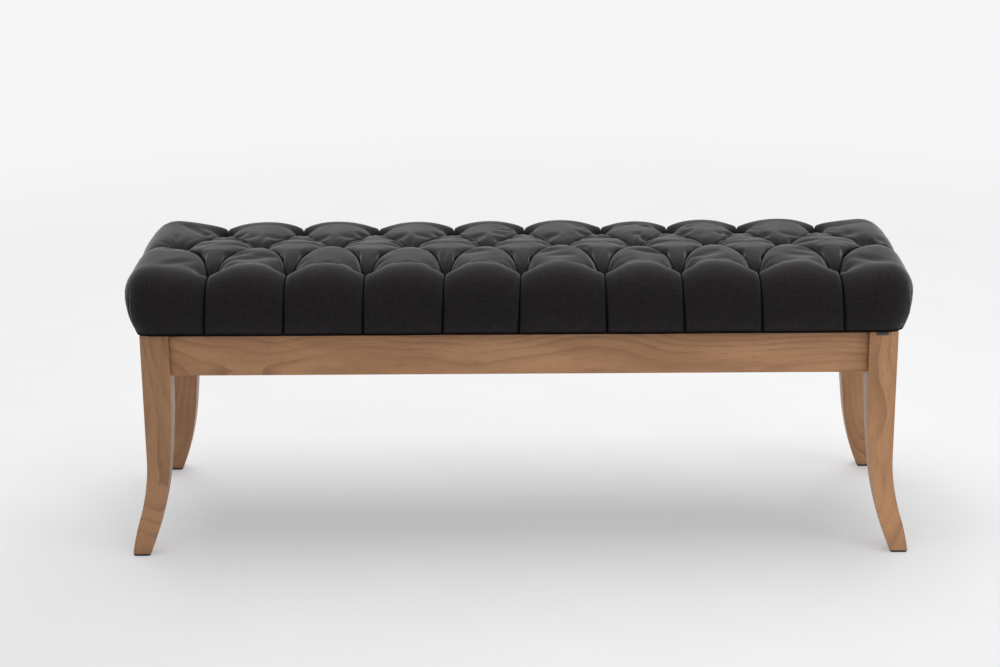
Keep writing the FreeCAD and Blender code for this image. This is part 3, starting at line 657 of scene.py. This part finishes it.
def rim_places(end, side, foot):
    """Points of the cloth's edge, from a seam's foot round the corner to the end seam."""
    straight = PLATE_X - abs(foot)
    total = straight + QUARTER + PLATE_Y
    fold = straight + LIP * CORNER_FOLDS[end]
    even = np.linspace(0, total, 2000)
    crowd = 1 + 5 * np.exp(-(((even - fold) / 7) ** 2)) + 1.5 * np.exp(-even / 12)
    crowd = crowd + 1.5 * np.exp(-(total - even) / 12)
    share = np.cumsum(crowd)
    share = (share - share[0]) / (share[-1] - share[0])
    places = []
    for at in np.interp(np.linspace(0, 1, TOP_ROWS + 1), share, even):
        if at < straight:
            places.append((end * (abs(foot) + at), side * RIM_Y))
        elif at < straight + QUARTER:
            turn = (at - straight) / LIP
            x = PLATE_X + REACH * math.sin(turn)
            places.append((end * x, side * (PLATE_Y + REACH * math.cos(turn))))
        else:
            places.append((end * RIM_X, side * (total - at)))
    return np.array(places)


for side, row, feet in sides_of_bench:
    for end, number, middle in ((-1, 0, MIDDLE_TUFTS[0]), (1, 8, MIDDLE_TUFTS[9])):
        tuft = row[number]
        inner = [(tuft + (middle - tuft) * t, side * ROW * (1 - t)) for t in top_shares]
        inner = np.array(inner)
        outer = rim_places(end, side, feet[number])
        flat = outer[None] + (inner - outer)[None] * face_shares[:, None, None]
        sides = [
            ((feet[number], side * RIM_Y), (tuft, side * ROW), "seam"),
            ((tuft, side * ROW), (middle, 0), "fold"),
            ((middle, 0), (end * RIM_X, 0), "end seam"),
        ]
        patches.append((flat, sides, "front corner" if side < 0 else "back corner"))

# Creases fan out from every tuft: towards the back from the middle row, towards the middle from
# the outer rows, and a few short ones along the rows.
chance = np.random.default_rng(11)
tufts = [(x, -ROW, 90) for x in FRONT_TUFTS]
tufts += [(x, 0.0, 90) for x in MIDDLE_TUFTS]
tufts += [(x, ROW, -90) for x in BACK_TUFTS]
creases = []
for x, y, aim in tufts:
    fan = np.linspace(-62, 62, 7) if y == 0 else np.linspace(-40, 40, 4)
    for angle in fan:
        turn = math.radians(aim + angle + chance.uniform(-7, 7))
        depth = chance.uniform(1.4, 4.2) * (1.0 if y == 0 else 0.6)
        creases.append((x, y, turn, depth, chance.uniform(38, 80), chance.uniform(2.0, 3.2)))
    for angle in (-aim + 45, -aim - 45) if y == 0 else (4, 176):
        turn = math.radians(angle + chance.uniform(-12, 12))
        depth = chance.uniform(0.3, 1.4)
        creases.append((x, y, turn, depth, chance.uniform(20, 40), chance.uniform(1.6, 2.6)))


def creased(flat):
    """How far the creases lower each point."""
    depth = np.zeros(flat.shape[:2])
    for x, y, turn, deep, reach, width in creases:
        off = flat - (x, y)
        along = off[..., 0] * math.cos(turn) + off[..., 1] * math.sin(turn)
        aside = off[..., 1] * math.cos(turn) - off[..., 0] * math.sin(turn)
        aside = aside + 0.004 * (along - 20) ** 2 * (1 if deep > 0.9 else -1)
        spread = width + 0.05 * np.maximum(along, 0)
        fade = smooth(2, 9, along) * (1 - smooth(reach * 0.45, reach, along))
        depth += deep * fade * np.exp(-((aside / spread) ** 2))
    return depth


# Each kind of puff: its lift on top and on the wall (mm), how square its wall is, how much rounder
# it gets past its edge, and how far its seams roll in.
PUFFS = {
    "front": (23.0, 6.0, 0.34, 0.0, 1.8),
    "back": (19.0, 6.5, 0.62, 0.3, 0.7),
    "diamond": (16.0, 0.0, 0.34, 0.0, 1.8),
    "front corner": (13.0, 4.5, 0.34, 0.0, 1.8),
    "back corner": (14.0, 6.5, 0.34, 0.0, 1.8),
}


def round_corner(flat):
    """A corner puff's end and side of the bench, and distances round the corner from its fold."""
    end, side = (1 if flat[..., i].mean() > 0 else -1 for i in (0, 1))
    turn = np.arctan2(end * flat[..., 0] - PLATE_X, side * flat[..., 1] - PLATE_Y)
    return end, side, (turn - CORNER_FOLDS[end]) * LIP


def puffed(flat, sides, kind, number):
    """Lifts a puff between its seams and folds, rolls its edges in and lays folds over."""
    spot, face, d = on_cushion(flat)
    lines = [across_and_along(flat, a, b) for a, b, _ in sides]
    distances = [np.maximum(np.abs(line[0]), 1e-6) for line in lines]
    spread = 1.0 / sum(1.0 / one for one in distances)
    share = 4 * spread / TUFT_PITCH
    on_wall = smooth(10, QUARTER, d)
    low = np.clip((d - QUARTER) / WALL, 0, 1)
    top_lift, wall_lift, wall_bend, edge_bend, pulled = PUFFS[kind]
    if kind == "diamond":
        top_lift = top_lift * (1 - 0.92 * smooth(-12, 62, flat[..., 1]))
    lift = top_lift + (wall_lift * (1 - 0.55 * low) - top_lift) * on_wall
    bend = TOP_BEND + (wall_bend - TOP_BEND) * on_wall + edge_bend * smooth(0, QUARTER, d)
    height = lift * (share**bend - (4e-6 / TUFT_PITCH) ** bend)
    height = height * (1 + 0.06 * math.sin(number * 2.4))
    shift = np.zeros(flat.shape)
    roll = np.zeros(d.shape)
    for (aside, along, run), distance, (_, _, name) in zip(lines, distances, sides):
        inward = np.sign(aside)
        here = 1 - smooth(0.97, 1.02, along)
        if name == "fold":
            rear = flat[..., 1] > 0
            crisp = np.where(rear, REAR_CRISP, 1.0)
            over = 1.0 if kind == "diamond" else -0.45
            bump = (distance / FOLD_WIDTH) * np.exp(1 - distance / FOLD_WIDTH) * here * crisp
            normal = np.array([-run[1], run[0]])
            shift -= (FOLD_LAP * over * bump * inward)[..., None] * normal
            edge = (1.0 if kind == "diamond" else -0.6) * here * crisp
            roll += edge * (1 - np.exp(-distance / 1.8)) * np.exp(-distance / 9)
            roll += 2.3 * crisp * here * (1 - np.exp(-distance / 1.4)) * np.exp(-distance / 60)
        else:
            roll += pulled * here * (1 - np.exp(-distance / 0.7)) * np.exp(-distance / 80)
    nearest = np.minimum.reduce(distances)
    close = 1 - np.exp(-np.maximum(nearest - 1e-6, 0) / 0.8)
    roll = roll * close
    shift = shift * close[..., None]
    dip = np.zeros(d.shape)
    for x, y, _ in tufts:
        past = flat[..., 1] - y
        past = np.where(past * y > 0, past * 1.5, past)
        away = np.maximum(np.hypot(flat[..., 0] - x, past) - TUFT_HALF, 0)
        floor_depth = on_cushion(np.array([[[x, y]]]))[0][0, 0, 2] - TUFT_FLOOR
        dip = np.maximum(dip, floor_depth * np.exp(-((away / TUFT_SLOPE) ** 0.9)))
    x, y = flat[..., 0], flat[..., 1]
    slow = 0.7 * np.sin(x / 31 + 1.3 * np.sin(y / 47)) + 0.6 * np.sin(y / 27 + x / 63 + 2)
    slow = slow * np.clip(nearest / SLACK_REACH, 0, 1)
    height = height + roll + slow - creased(flat)
    if "corner" in kind:
        end, side, ring = round_corner(flat)
        at_corner = (d > 20) & (end * x > PLATE_X - 60) & (side * y > PLATE_Y - 100)
        fade = smooth(QUARTER - 22, QUARTER + 2, d) * at_corner
        lower = (CORNER_FLAP - CORNER_DROP) * np.exp(-(ring - CORNER_STEP) / 11)
        flap = np.where(ring < 0, CORNER_FLAP * np.exp(ring / 10), lower)
        step = CORNER_FLAP - CORNER_DROP * smooth(0.0, CORNER_STEP, ring)
        flap = np.where((ring >= 0) & (ring < CORNER_STEP), step, flap)
        height = height + flap * fade
    lifted = spot + face * height[..., None]
    level = face[..., 2:3]
    lifted[..., :2] += shift * level
    lifted[..., 2] -= dip
    ahead = np.sin(np.pi * np.clip(-y / ROW, 0, 1)) + 0.4 * np.sin(np.pi * np.clip(y / ROW, 0, 1))
    bowed = np.sin(2 * np.pi * (x - FRONT_TUFTS[4] - 2) / TUFT_PITCH) * ahead
    lifted[..., 0] -= 8.0 * bowed * (1 - smooth(500, 560, np.abs(x)))
    return lifted


def tucked(flat, sides, kind):
    """Painted shade: 1 where the cloth dips into a seam, fold, tuft, corner fold or its lower edge
    and lies in shadow there, else 0.
    """
    d = on_cushion(flat)[2]
    # Painted shade along the lower edge, where the cushion meets the rail.
    deep = smooth(REACH - 7, REACH - 2, d)
    for a, b, name in sides:
        distance, along, _ = across_and_along(flat, a, b)
        width = {"seam": 1.8, "end seam": 1.6, "fold": 1.7}[name]
        rear = 0.5 if (flat[..., 1] > 0).mean() > 0.6 else 1.0
        near = (1 - smooth(0.4 * width, 2.2 * width, np.abs(distance))) * rear
        deep = np.maximum(deep, near * (along > -0.02) * (along < 1.02))
    for x, y, _ in tufts:
        away = np.hypot(flat[..., 0] - x, flat[..., 1] - y)
        deep = np.maximum(deep, 1 - smooth(5, 13, away))
    if "corner" in kind:
        end, side, ring = round_corner(flat)
        band = smooth(0.2, 1.0, ring) * (1 - smooth(8, 16, ring))
        at_corner = (end * flat[..., 0] > PLATE_X) & (side * flat[..., 1] > PLATE_Y)
        deep = np.maximum(deep, band * smooth(QUARTER - 16, QUARTER + 4, d) * at_corner)
    return deep


# The cloth is cut a little larger than its puffs and blown up from inside, held along its seams
# and folds, which gives it the slack creases of real cover cloth.
shaped = [puffed(flat, sides, kind, n) for n, (flat, sides, kind) in enumerate(patches)]
strides = [(4, 4) if "corner" in kind else (4, 3) for _, _, kind in patches]
known = {}
loose_places = []
held = set()
loose_quads = []
loose_numbers = []
for (flat, _, _), lifted, (down_step, side_step) in zip(patches, shaped, strides):
    few = flat[::down_step, ::side_step]
    lifted_few = lifted[::down_step, ::side_step]
    numbers = np.zeros(few.shape[:2], int)
    for r, c in np.ndindex(numbers.shape):
        key = tuple(np.round(few[r, c] * LOOSE_STEP).astype(int))
        if key not in known:
            known[key] = len(loose_places)
            loose_places.append(lifted_few[r, c] * 0.001)
        numbers[r, c] = known[key]
        if r in (0, numbers.shape[0] - 1) or c in (0, numbers.shape[1] - 1):
            held.add(known[key])
    cells = np.stack([numbers[:-1, :-1], numbers[:-1, 1:], numbers[1:, 1:], numbers[1:, :-1]], -1)
    for cell in cells.reshape(-1, 4).tolist():
        corners_left = list(dict.fromkeys(cell))
        if len(corners_left) > 2:
            loose_quads.append(corners_left)
    loose_numbers.append(numbers)
loose_mesh = bpy.data.meshes.new("loose cloth")
loose_mesh.from_pydata([tuple(v) for v in loose_places], [], loose_quads)
outward = bmesh.new()
outward.from_mesh(loose_mesh)
bmesh.ops.recalc_face_normals(outward, faces=outward.faces)
if sum(f.normal.z * f.calc_area() for f in outward.faces) < 0:
    bmesh.ops.reverse_faces(outward, faces=outward.faces)
outward.to_mesh(loose_mesh)
outward.free()
loose = placed("loose cloth", loose_mesh)
pins = loose.vertex_groups.new(name="held")
pins.add(sorted(held), 1.0, "REPLACE")
cloth = loose.modifiers.new("cloth", "CLOTH")
settings = cloth.settings
settings.quality = 6
settings.mass = 0.25
settings.tension_stiffness = 12
settings.compression_stiffness = 12
settings.shear_stiffness = 4
settings.bending_stiffness = 1.5
settings.vertex_group_mass = "held"
settings.use_pressure = True
settings.uniform_pressure_force = 3.0
settings.shrink_min = -0.012
settings.effector_weights.gravity = 0
cloth.collision_settings.use_collision = False
cloth.point_cache.frame_start = 1
cloth.point_cache.frame_end = LAST_FRAME
for step in range(1, LAST_FRAME + 1):
    bpy.context.scene.frame_set(step)
blown = loose.evaluated_get(bpy.context.evaluated_depsgraph_get()).to_mesh()
after = np.zeros(len(loose_places) * 3)
blown.vertices.foreach_get("co", after)
moved_by = after.reshape(-1, 3) * 1000 - np.array(loose_places) * 1000
bpy.context.scene.frame_set(1)
bpy.data.objects.remove(loose)
size_moved = np.linalg.norm(moved_by, axis=1)
moved_by = moved_by * np.minimum(1, MOST_SLACK / np.maximum(size_moved, 1e-9))[:, None]


def between_knots(count, step):
    """Weights that carry values on every step-th line smoothly to all lines."""
    knots = (count - 1) // step
    weights = np.zeros((count, knots + 1))
    for i in range(count):
        k = min(i // step, knots - 1)
        t = i / step - k
        curve = (
            -0.5 * t + t * t - 0.5 * t**3,
            1 - 2.5 * t * t + 1.5 * t**3,
            0.5 * t + 2 * t * t - 1.5 * t**3,
            -0.5 * t * t + 0.5 * t**3,
        )
        for j, weight in zip(range(k - 1, k + 3), curve):
            weights[i, min(max(j, 0), knots)] += weight
    return weights


verts = []
quads = []
cloth_places = []
groove_shade_values = []
for (flat, sides, kind), lifted, stride, numbers in zip(patches, shaped, strides, loose_numbers):
    groove_shade_values.extend(tucked(flat, sides, kind).ravel().tolist())
    down_weights = between_knots(flat.shape[0], stride[0])
    side_weights = between_knots(flat.shape[1], stride[1])
    slack = np.einsum("ik,klc,jl->ijc", down_weights, moved_by[numbers], side_weights)
    calm = 1 - 0.65 * smooth(QUARTER * 0.7, QUARTER * 1.1, on_cushion(flat)[2])
    lifted = lifted + slack * calm[..., None]
    rows, columns = flat.shape[:2]
    offset = len(verts)
    verts.extend(lifted.reshape(-1, 3).tolist())
    cloth_places.extend(flat.reshape(-1, 2).tolist())
    grid = offset + np.arange(rows * columns).reshape(rows, columns)
    cells = np.stack([grid[:-1, :-1], grid[:-1, 1:], grid[1:, 1:], grid[1:, :-1]], -1)
    down = np.diff(flat, axis=0).sum(0).mean(0)
    aside = np.diff(flat, axis=1).sum(1).mean(0)
    if aside[0] * down[1] - aside[1] * down[0] < 0:
        cells = cells[..., ::-1]
    quads.extend(cells.reshape(-1, 4).tolist())

# Neighbouring puffs share the points of their common seam or fold. The shift keeps places that
# lie on both off the limits of the rounding.
cloth_places = np.array(cloth_places)
rounded = np.round(cloth_places * WELD_STEP + WELD_SHIFT).astype(int)
_, first, shared = np.unique(rounded, axis=0, return_index=True, return_inverse=True)
shared = shared.ravel()
cells = [list(dict.fromkeys(cell)) for cell in shared[np.array(quads)].tolist()]
cells = [cell for cell in cells if len(cell) > 2]
cloth_places = cloth_places[first]
groove_shade_values = np.array(groove_shade_values)[first]
cloth_mesh = bpy.data.meshes.new("cushion")
cloth_mesh.from_pydata((np.array(verts)[first] * 0.001).tolist(), [], cells)
uv = cloth_mesh.uv_layers.new(name="cloth")
corner_index = np.zeros(len(cloth_mesh.loops), int)
cloth_mesh.loops.foreach_get("vertex_index", corner_index)
flat_places = cloth_places[corner_index] * 0.001
uv.data.foreach_set("uv", flat_places.ravel().astype(np.float32))
# The painted shade of the grooves is kept on each point.
mask = cloth_mesh.attributes.new("tucked", "FLOAT", "POINT")
mask.data.foreach_set("value", groove_shade_values.astype(np.float32))
work = bmesh.new()
work.from_mesh(cloth_mesh)
rim = [e for e in work.edges if e.is_boundary]
grown = bmesh.ops.extrude_edge_only(work, edges=rim)
under = [g for g in grown["geom"] if isinstance(g, bmesh.types.BMVert)]
for vert in under:
    vert.co.x -= HEM_DEPTH * (1 if vert.co.x > 0 else -1) * (abs(vert.co.x) > 0.5)
    vert.co.y -= HEM_DEPTH * (1 if vert.co.y > 0 else -1) * (abs(vert.co.y) > 0.1)
    vert.co.z = HEM_HEIGHT
hem = [e for e in work.edges if e.is_boundary]
middle = work.verts.new((0, 0, HEM_HEIGHT))
for edge in hem:
    work.faces.new((edge.verts[0], edge.verts[1], middle))
bmesh.ops.recalc_face_normals(work, faces=work.faces)
for part in work.faces:
    part.smooth = True
work.to_mesh(cloth_mesh)
work.free()
cushion = placed("tufted_cushion", cloth_mesh)

linen = Finish(
    "dark linen", 0.8, Sheen_Weight=0.45, Sheen_Roughness=0.4, Specular_IOR_Level=0.1
)
place = linen.node("ShaderNodeTexCoord", output=2)
warp = linen.noise(linen.stretch(place, (1100, 50, 1)), 1.0, 2.0)
weft = linen.noise(linen.stretch(place, (50, 1100, 1), (3, 9, 0)), 1.0, 2.0)
threads = warp * 0.5 + weft * 0.5
cloud = linen.noise(place, 9.0, 2.0)
shade = linen.ramp(threads, 0.30, 0.70) * 0.8 + cloud * 0.2
linen.colour(shade, (0.005, 0.0040, 0.0045), (0.023, 0.0190, 0.0205))
linen.wear("Roughness", 0.78 + threads * 0.15)
linen.bump(threads, 0.0006, 0.6)
# Painted shade: where the mask is set, the cloth is mixed with a near black shader without sheen,
# for the shadow in the seams, folds, tufts, corner folds and under the lower edge.
groove_shade_share = linen.node("ShaderNodeAttribute", {"attribute_name": "tucked"}, {}, "Fac")
shadowed = linen.node(
    "ShaderNodeBsdfPrincipled",
    {},
    {"Base Color": (0.0035, 0.003, 0.0032, 1), "Roughness": 0.95, "Specular IOR Level": 0.0},
)
linen.blend(linen.shader, groove_shade_share * 0.92, shadowed, "Material Output")
paint(cushion, linen.material)
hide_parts("seat_cover")
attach(cushion, "root")


# Buttons: small domes covered in the cushion's cloth, one at the bottom of each tuft. A twine
# goes from each down through foam and board to a plastic anchor.
def dome_shape(maker, given):
    """A flattened ball."""
    ball = maker.node(
        "GeometryNodeMeshUVSphere", {}, {"Segments": 14, "Rings": 8, "Radius": given["Radius"]}
    )
    squeeze = maker.node("ShaderNodeCombineXYZ", {}, {0: 1.0, 1: 1.0, 2: given["Flatness"]})
    return maker.node("GeometryNodeTransform", {}, {"Geometry": ball, "Scale": squeeze})


BUTTON_HEIGHT = 400.2
TWINE_MIDDLE = 374.2
TWINE_TURNS = 2400.0
button_cloth = Finish("button cloth", 0.85, Sheen_Weight=0.3, Specular_IOR_Level=0.12)
weave = button_cloth.noise(button_cloth.spot(), 1300.0, 2.0)
button_cloth.colour(weave, (0.007, 0.006, 0.0065), (0.03, 0.026, 0.027))
button_cloth.bump(weave, 0.0004, 0.6)
places = [(x, y, BUTTON_HEIGHT) for x, y, _ in tufts]
upright = [(0, 0, 0)] * len(places)
sizes = {"Radius": 0.0058, "Flatness": 0.38}
buttons = repeated("cloth_buttons", places, upright, dome_shape, button_cloth.material, sizes)
buttons.data.shade_smooth()
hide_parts("tuft_buttons")
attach(buttons, "root")


def rod_shape(maker, given):
    """A round rod with its middle on its place."""
    inputs = {"Vertices": 8, "Radius": given["Radius"], "Depth": given["Length"]}
    return maker.node("GeometryNodeMeshCylinder", {"fill_type": "NGON"}, inputs)


waxed = Finish("waxed twine", 0.6)
wound = waxed.axis(waxed.spot(), 2) * TWINE_TURNS
lay = 0.5 + 0.5 * wound.maths("SINE", wound)
waxed.colour(lay, (0.50, 0.46, 0.36), (0.72, 0.68, 0.57))
waxed.bump(lay, 0.0003, 0.6)
places = [(x, y, TWINE_MIDDLE) for x, y, _ in tufts]
sizes = {"Radius": 0.0009, "Length": 0.048}
twines = repeated("tuft_twine_rods", places, upright, rod_shape, waxed.material, sizes)
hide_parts("tuft_twines")
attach(twines, "root")

anchor_plastic = Finish("white anchor plastic", 0.5)
flow = anchor_plastic.noise(anchor_plastic.spot(), 300.0, 2.0)
anchor_plastic.colour(flow, (0.74, 0.74, 0.72), (0.82, 0.82, 0.8))
anchor_plastic.bump(flow, 0.0002, 0.3)
eased("twine_anchors", 0.0002, anchor_plastic.material)


# Dust cover: a thin black non-woven cloth drawn over the underside of the seat and stapled along
# its edges. It is a little slack between the staples.
COVER_X = 548.5
COVER_Y = 143.5
COVER_TOP = 349.75
COVER_LOWEST = 349.15
cover_work = bmesh.new()
grid = []
for y in np.linspace(-COVER_Y, COVER_Y, 42):
    row = []
    for x in np.linspace(-COVER_X, COVER_X, 150):
        edge = min(COVER_X - abs(x), COVER_Y - abs(y))
        slack = 0.5 + 0.25 * math.sin(x / 19 + math.sin(y / 23)) + 0.2 * math.sin(y / 11 + x / 70)
        pulled = 0.35 * math.sin(x / 9.5) * math.exp(-edge / 14)
        low = COVER_TOP - (0.6 * slack * (1 - math.exp(-edge / 20)) + 0.3 * abs(pulled))
        row.append(cover_work.verts.new((x * 0.001, y * 0.001, max(low, COVER_LOWEST) * 0.001)))
    grid.append(row)
for one, two in zip(grid, grid[1:]):
    for k in range(len(one) - 1):
        cover_work.faces.new((one[k], two[k], two[k + 1], one[k + 1])).smooth = True
dust = built("dust_cloth", cover_work)
thick = dust.modifiers.new("thickness", "SOLIDIFY")
thick.thickness = 0.0002
felted = Finish("non-woven cloth", 0.9, Specular_IOR_Level=0.2)
spot = felted.spot()
fibres = felted.noise(spot, 420.0, 4.0, 0.7)
dots = felted.node("ShaderNodeTexVoronoi", {}, {"Vector": spot, "Scale": 650.0})
felted.colour(fibres, (0.010, 0.010, 0.010), (0.035, 0.035, 0.036))
felted.wear("Roughness", 0.82 + fibres * 0.12)
felted.bump(fibres * 0.6 + felted.ramp(dots, 0.1, 0.4) * 0.4, 0.0003, 0.6)
paint(dust, felted.material)
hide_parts("dust_cover")
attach(dust, "root")


# Staples: bright wire staples through the edges of the dust cover, about every 55 mm on the long
# sides and every 41 mm on the short ones. None is over a slat.
def staple_shape(maker, given):
    """A wire crown with two short legs that go up into the wood."""
    wire = {"Vertices": 6, "Radius": given["Wire"], "Depth": given["Crown"]}
    crown = maker.node("GeometryNodeMeshCylinder", {"fill_type": "NGON"}, wire)
    lying = maker.node(
        "GeometryNodeTransform", {}, {"Geometry": crown, "Rotation": (0, math.pi / 2, 0)}
    )
    parts = [lying]
    leg = {"Vertices": 6, "Radius": given["Wire"], "Depth": given["Leg"]}
    for end in (-0.5, 0.5):
        standing = maker.node("GeometryNodeMeshCylinder", {"fill_type": "NGON"}, leg)
        at = maker.node(
            "ShaderNodeCombineXYZ", {}, {0: given["Crown"] * end, 2: given["Leg"] * 0.5}
        )
        inputs = {"Geometry": standing, "Translation": at}
        parts.append(maker.node("GeometryNodeTransform", {}, inputs))
    return maker.join(*parts)


STAPLE_X = 531
STAPLE_Y = 129
STAPLE_HEIGHT = 348.9
CARELESS = 0.12
places = []
turns = []
for side in (-1, 1):
    for x in np.arange(-495, 496, 55.0):
        if not 160 < abs(x) < 220:
            places.append((x, side * STAPLE_Y, STAPLE_HEIGHT))
            turns.append((0, 0, CARELESS * math.sin(x)))
for end in (-1, 1):
    for y in np.arange(-82, 83, 41.0):
        places.append((end * STAPLE_X, y, STAPLE_HEIGHT))
        turns.append((0, 0, math.pi / 2 + CARELESS * math.sin(y)))
sizes = {"Wire": 0.0004, "Crown": 0.010, "Leg": 0.006}
staples = repeated("dust_cover_staples", places, turns, staple_shape, zinc.material, sizes)
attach(staples, "root")


# Tag: a short loop of dark woven ribbon, left blank, caught under the cushion's front edge near
# its right end.
TAG_LEFT = 537.2
TAG_RIGHT = 554.8
fold_line = [(-169.35, 350.0), (-169.3, 347.0), (-169.35, 344.4)]
fold_line += [(-169.55, 343.75), (-169.85, 343.75), (-170.0, 344.4)]
fold_line += [(-170.05, 347.0), (-170.0, 350.0)]
tag_work = bmesh.new()
grid = []
for y, z in fold_line:
    span = np.linspace(TAG_LEFT, TAG_RIGHT, 13)
    grid.append([tag_work.verts.new((x * 0.001, y * 0.001, z * 0.001)) for x in span])
for one, two in zip(grid, grid[1:]):
    for k in range(len(one) - 1):
        tag_work.faces.new((one[k], one[k + 1], two[k + 1], two[k])).smooth = True
tag = built("blank_tag", tag_work)
thick = tag.modifiers.new("thickness", "SOLIDIFY")
thick.thickness = 0.00018
ribbon = Finish("dark ribbon", 0.7)
ribs = ribbon.noise(ribbon.stretch(ribbon.spot(), (3000, 600, 900)), 1.0, 2.0)
ribbon.colour(ribs, (0.035, 0.035, 0.037), (0.085, 0.085, 0.09))
ribbon.bump(ribs, 0.0002, 0.5)
paint(tag, ribbon.material)
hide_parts("side_tag")
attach(tag, "root")


# Studio: a wide pale floor with painted shade towards the front and left, a large soft lamp
# overhead and weaker ones in front and at the side. To the camera and in mirrors the floor glows by
# itself, more with distance, and meets a pale world.
FLOOR_REACH = 40.0
floor_paint = Finish("pale floor", 0.75)
spot = floor_paint.spot()
smudge = floor_paint.noise(spot, 3.5, 4.0, 0.6)
across, depth = (floor_paint.axis(spot, i) for i in (0, 1))
mottled = floor_paint.mix(smudge, (0.74, 0.745, 0.755), (0.86, 0.86, 0.86))
# Painted shade: the floor is painted darker towards the front and the left, where less light falls.
floor_shade = 1 - floor_paint.ramp(depth + across * 0.35, -1.5, 0.1)
floor_paint.colour(floor_shade * 0.9, mottled, (0.56, 0.562, 0.567))
away = (across * across + depth * depth).power(0.5)
far = floor_paint.ramp(away, 0.8, 2.9)
near_floor = floor_paint.ramp(depth, -2.2, -0.2)
glow = floor_paint.node("ShaderNodeEmission", {}, {"Color": (0.93, 0.93, 0.935, 1)})
share = floor_paint.background_rays() * (0.20 + 0.16 * near_floor + 0.62 * far)
floor_paint.blend(floor_paint.shader, share, glow, "Material Output")
floor_mesh = bpy.data.meshes.new("floor")
turned = ((-1, -1), (1, -1), (1, 1), (-1, 1))
corners = [(x * FLOOR_REACH, y * FLOOR_REACH, 0) for x, y in turned]
floor_mesh.from_pydata(corners, [], [(0, 1, 2, 3)])
floor = placed("floor", floor_mesh)
floor.data.materials.append(floor_paint.material)


LAMP_TARGET = Vector((0, 0, 0.3))


def lamp(name, place, size, power):
    """A soft square lamp that faces the bench."""
    data = bpy.data.lights.new(name, "AREA")
    data.shape = "SQUARE"
    data.size = size
    data.energy = power
    made = placed(name, data)
    made.location = place
    way = LAMP_TARGET - Vector(place)
    made.rotation_euler = way.to_track_quat("-Z", "Y").to_euler()


lamp("overhead", (0.0, 0.5, 3.0), 2.8, 85)
lamp("front", (1.3, -3.4, 2.0), 1.6, 14)
lamp("side", (2.6, -1.2, 1.6), 1.4, 12)
world = bpy.data.worlds.new("studio")
bpy.context.scene.world = world
world.use_nodes = True
sky = Nodes(world.node_tree)
light = world.node_tree.nodes["Background"]
light.inputs[0].default_value = (0.97, 0.98, 1.0, 1)
light.inputs[1].default_value = 0.38
pale = sky.node("ShaderNodeBackground", {}, {"Color": (0.92, 0.92, 0.922, 1)})
sky.blend(light, sky.background_rays(), pale, "World Output")
bpy.context.scene.view_settings.view_transform = "Standard"
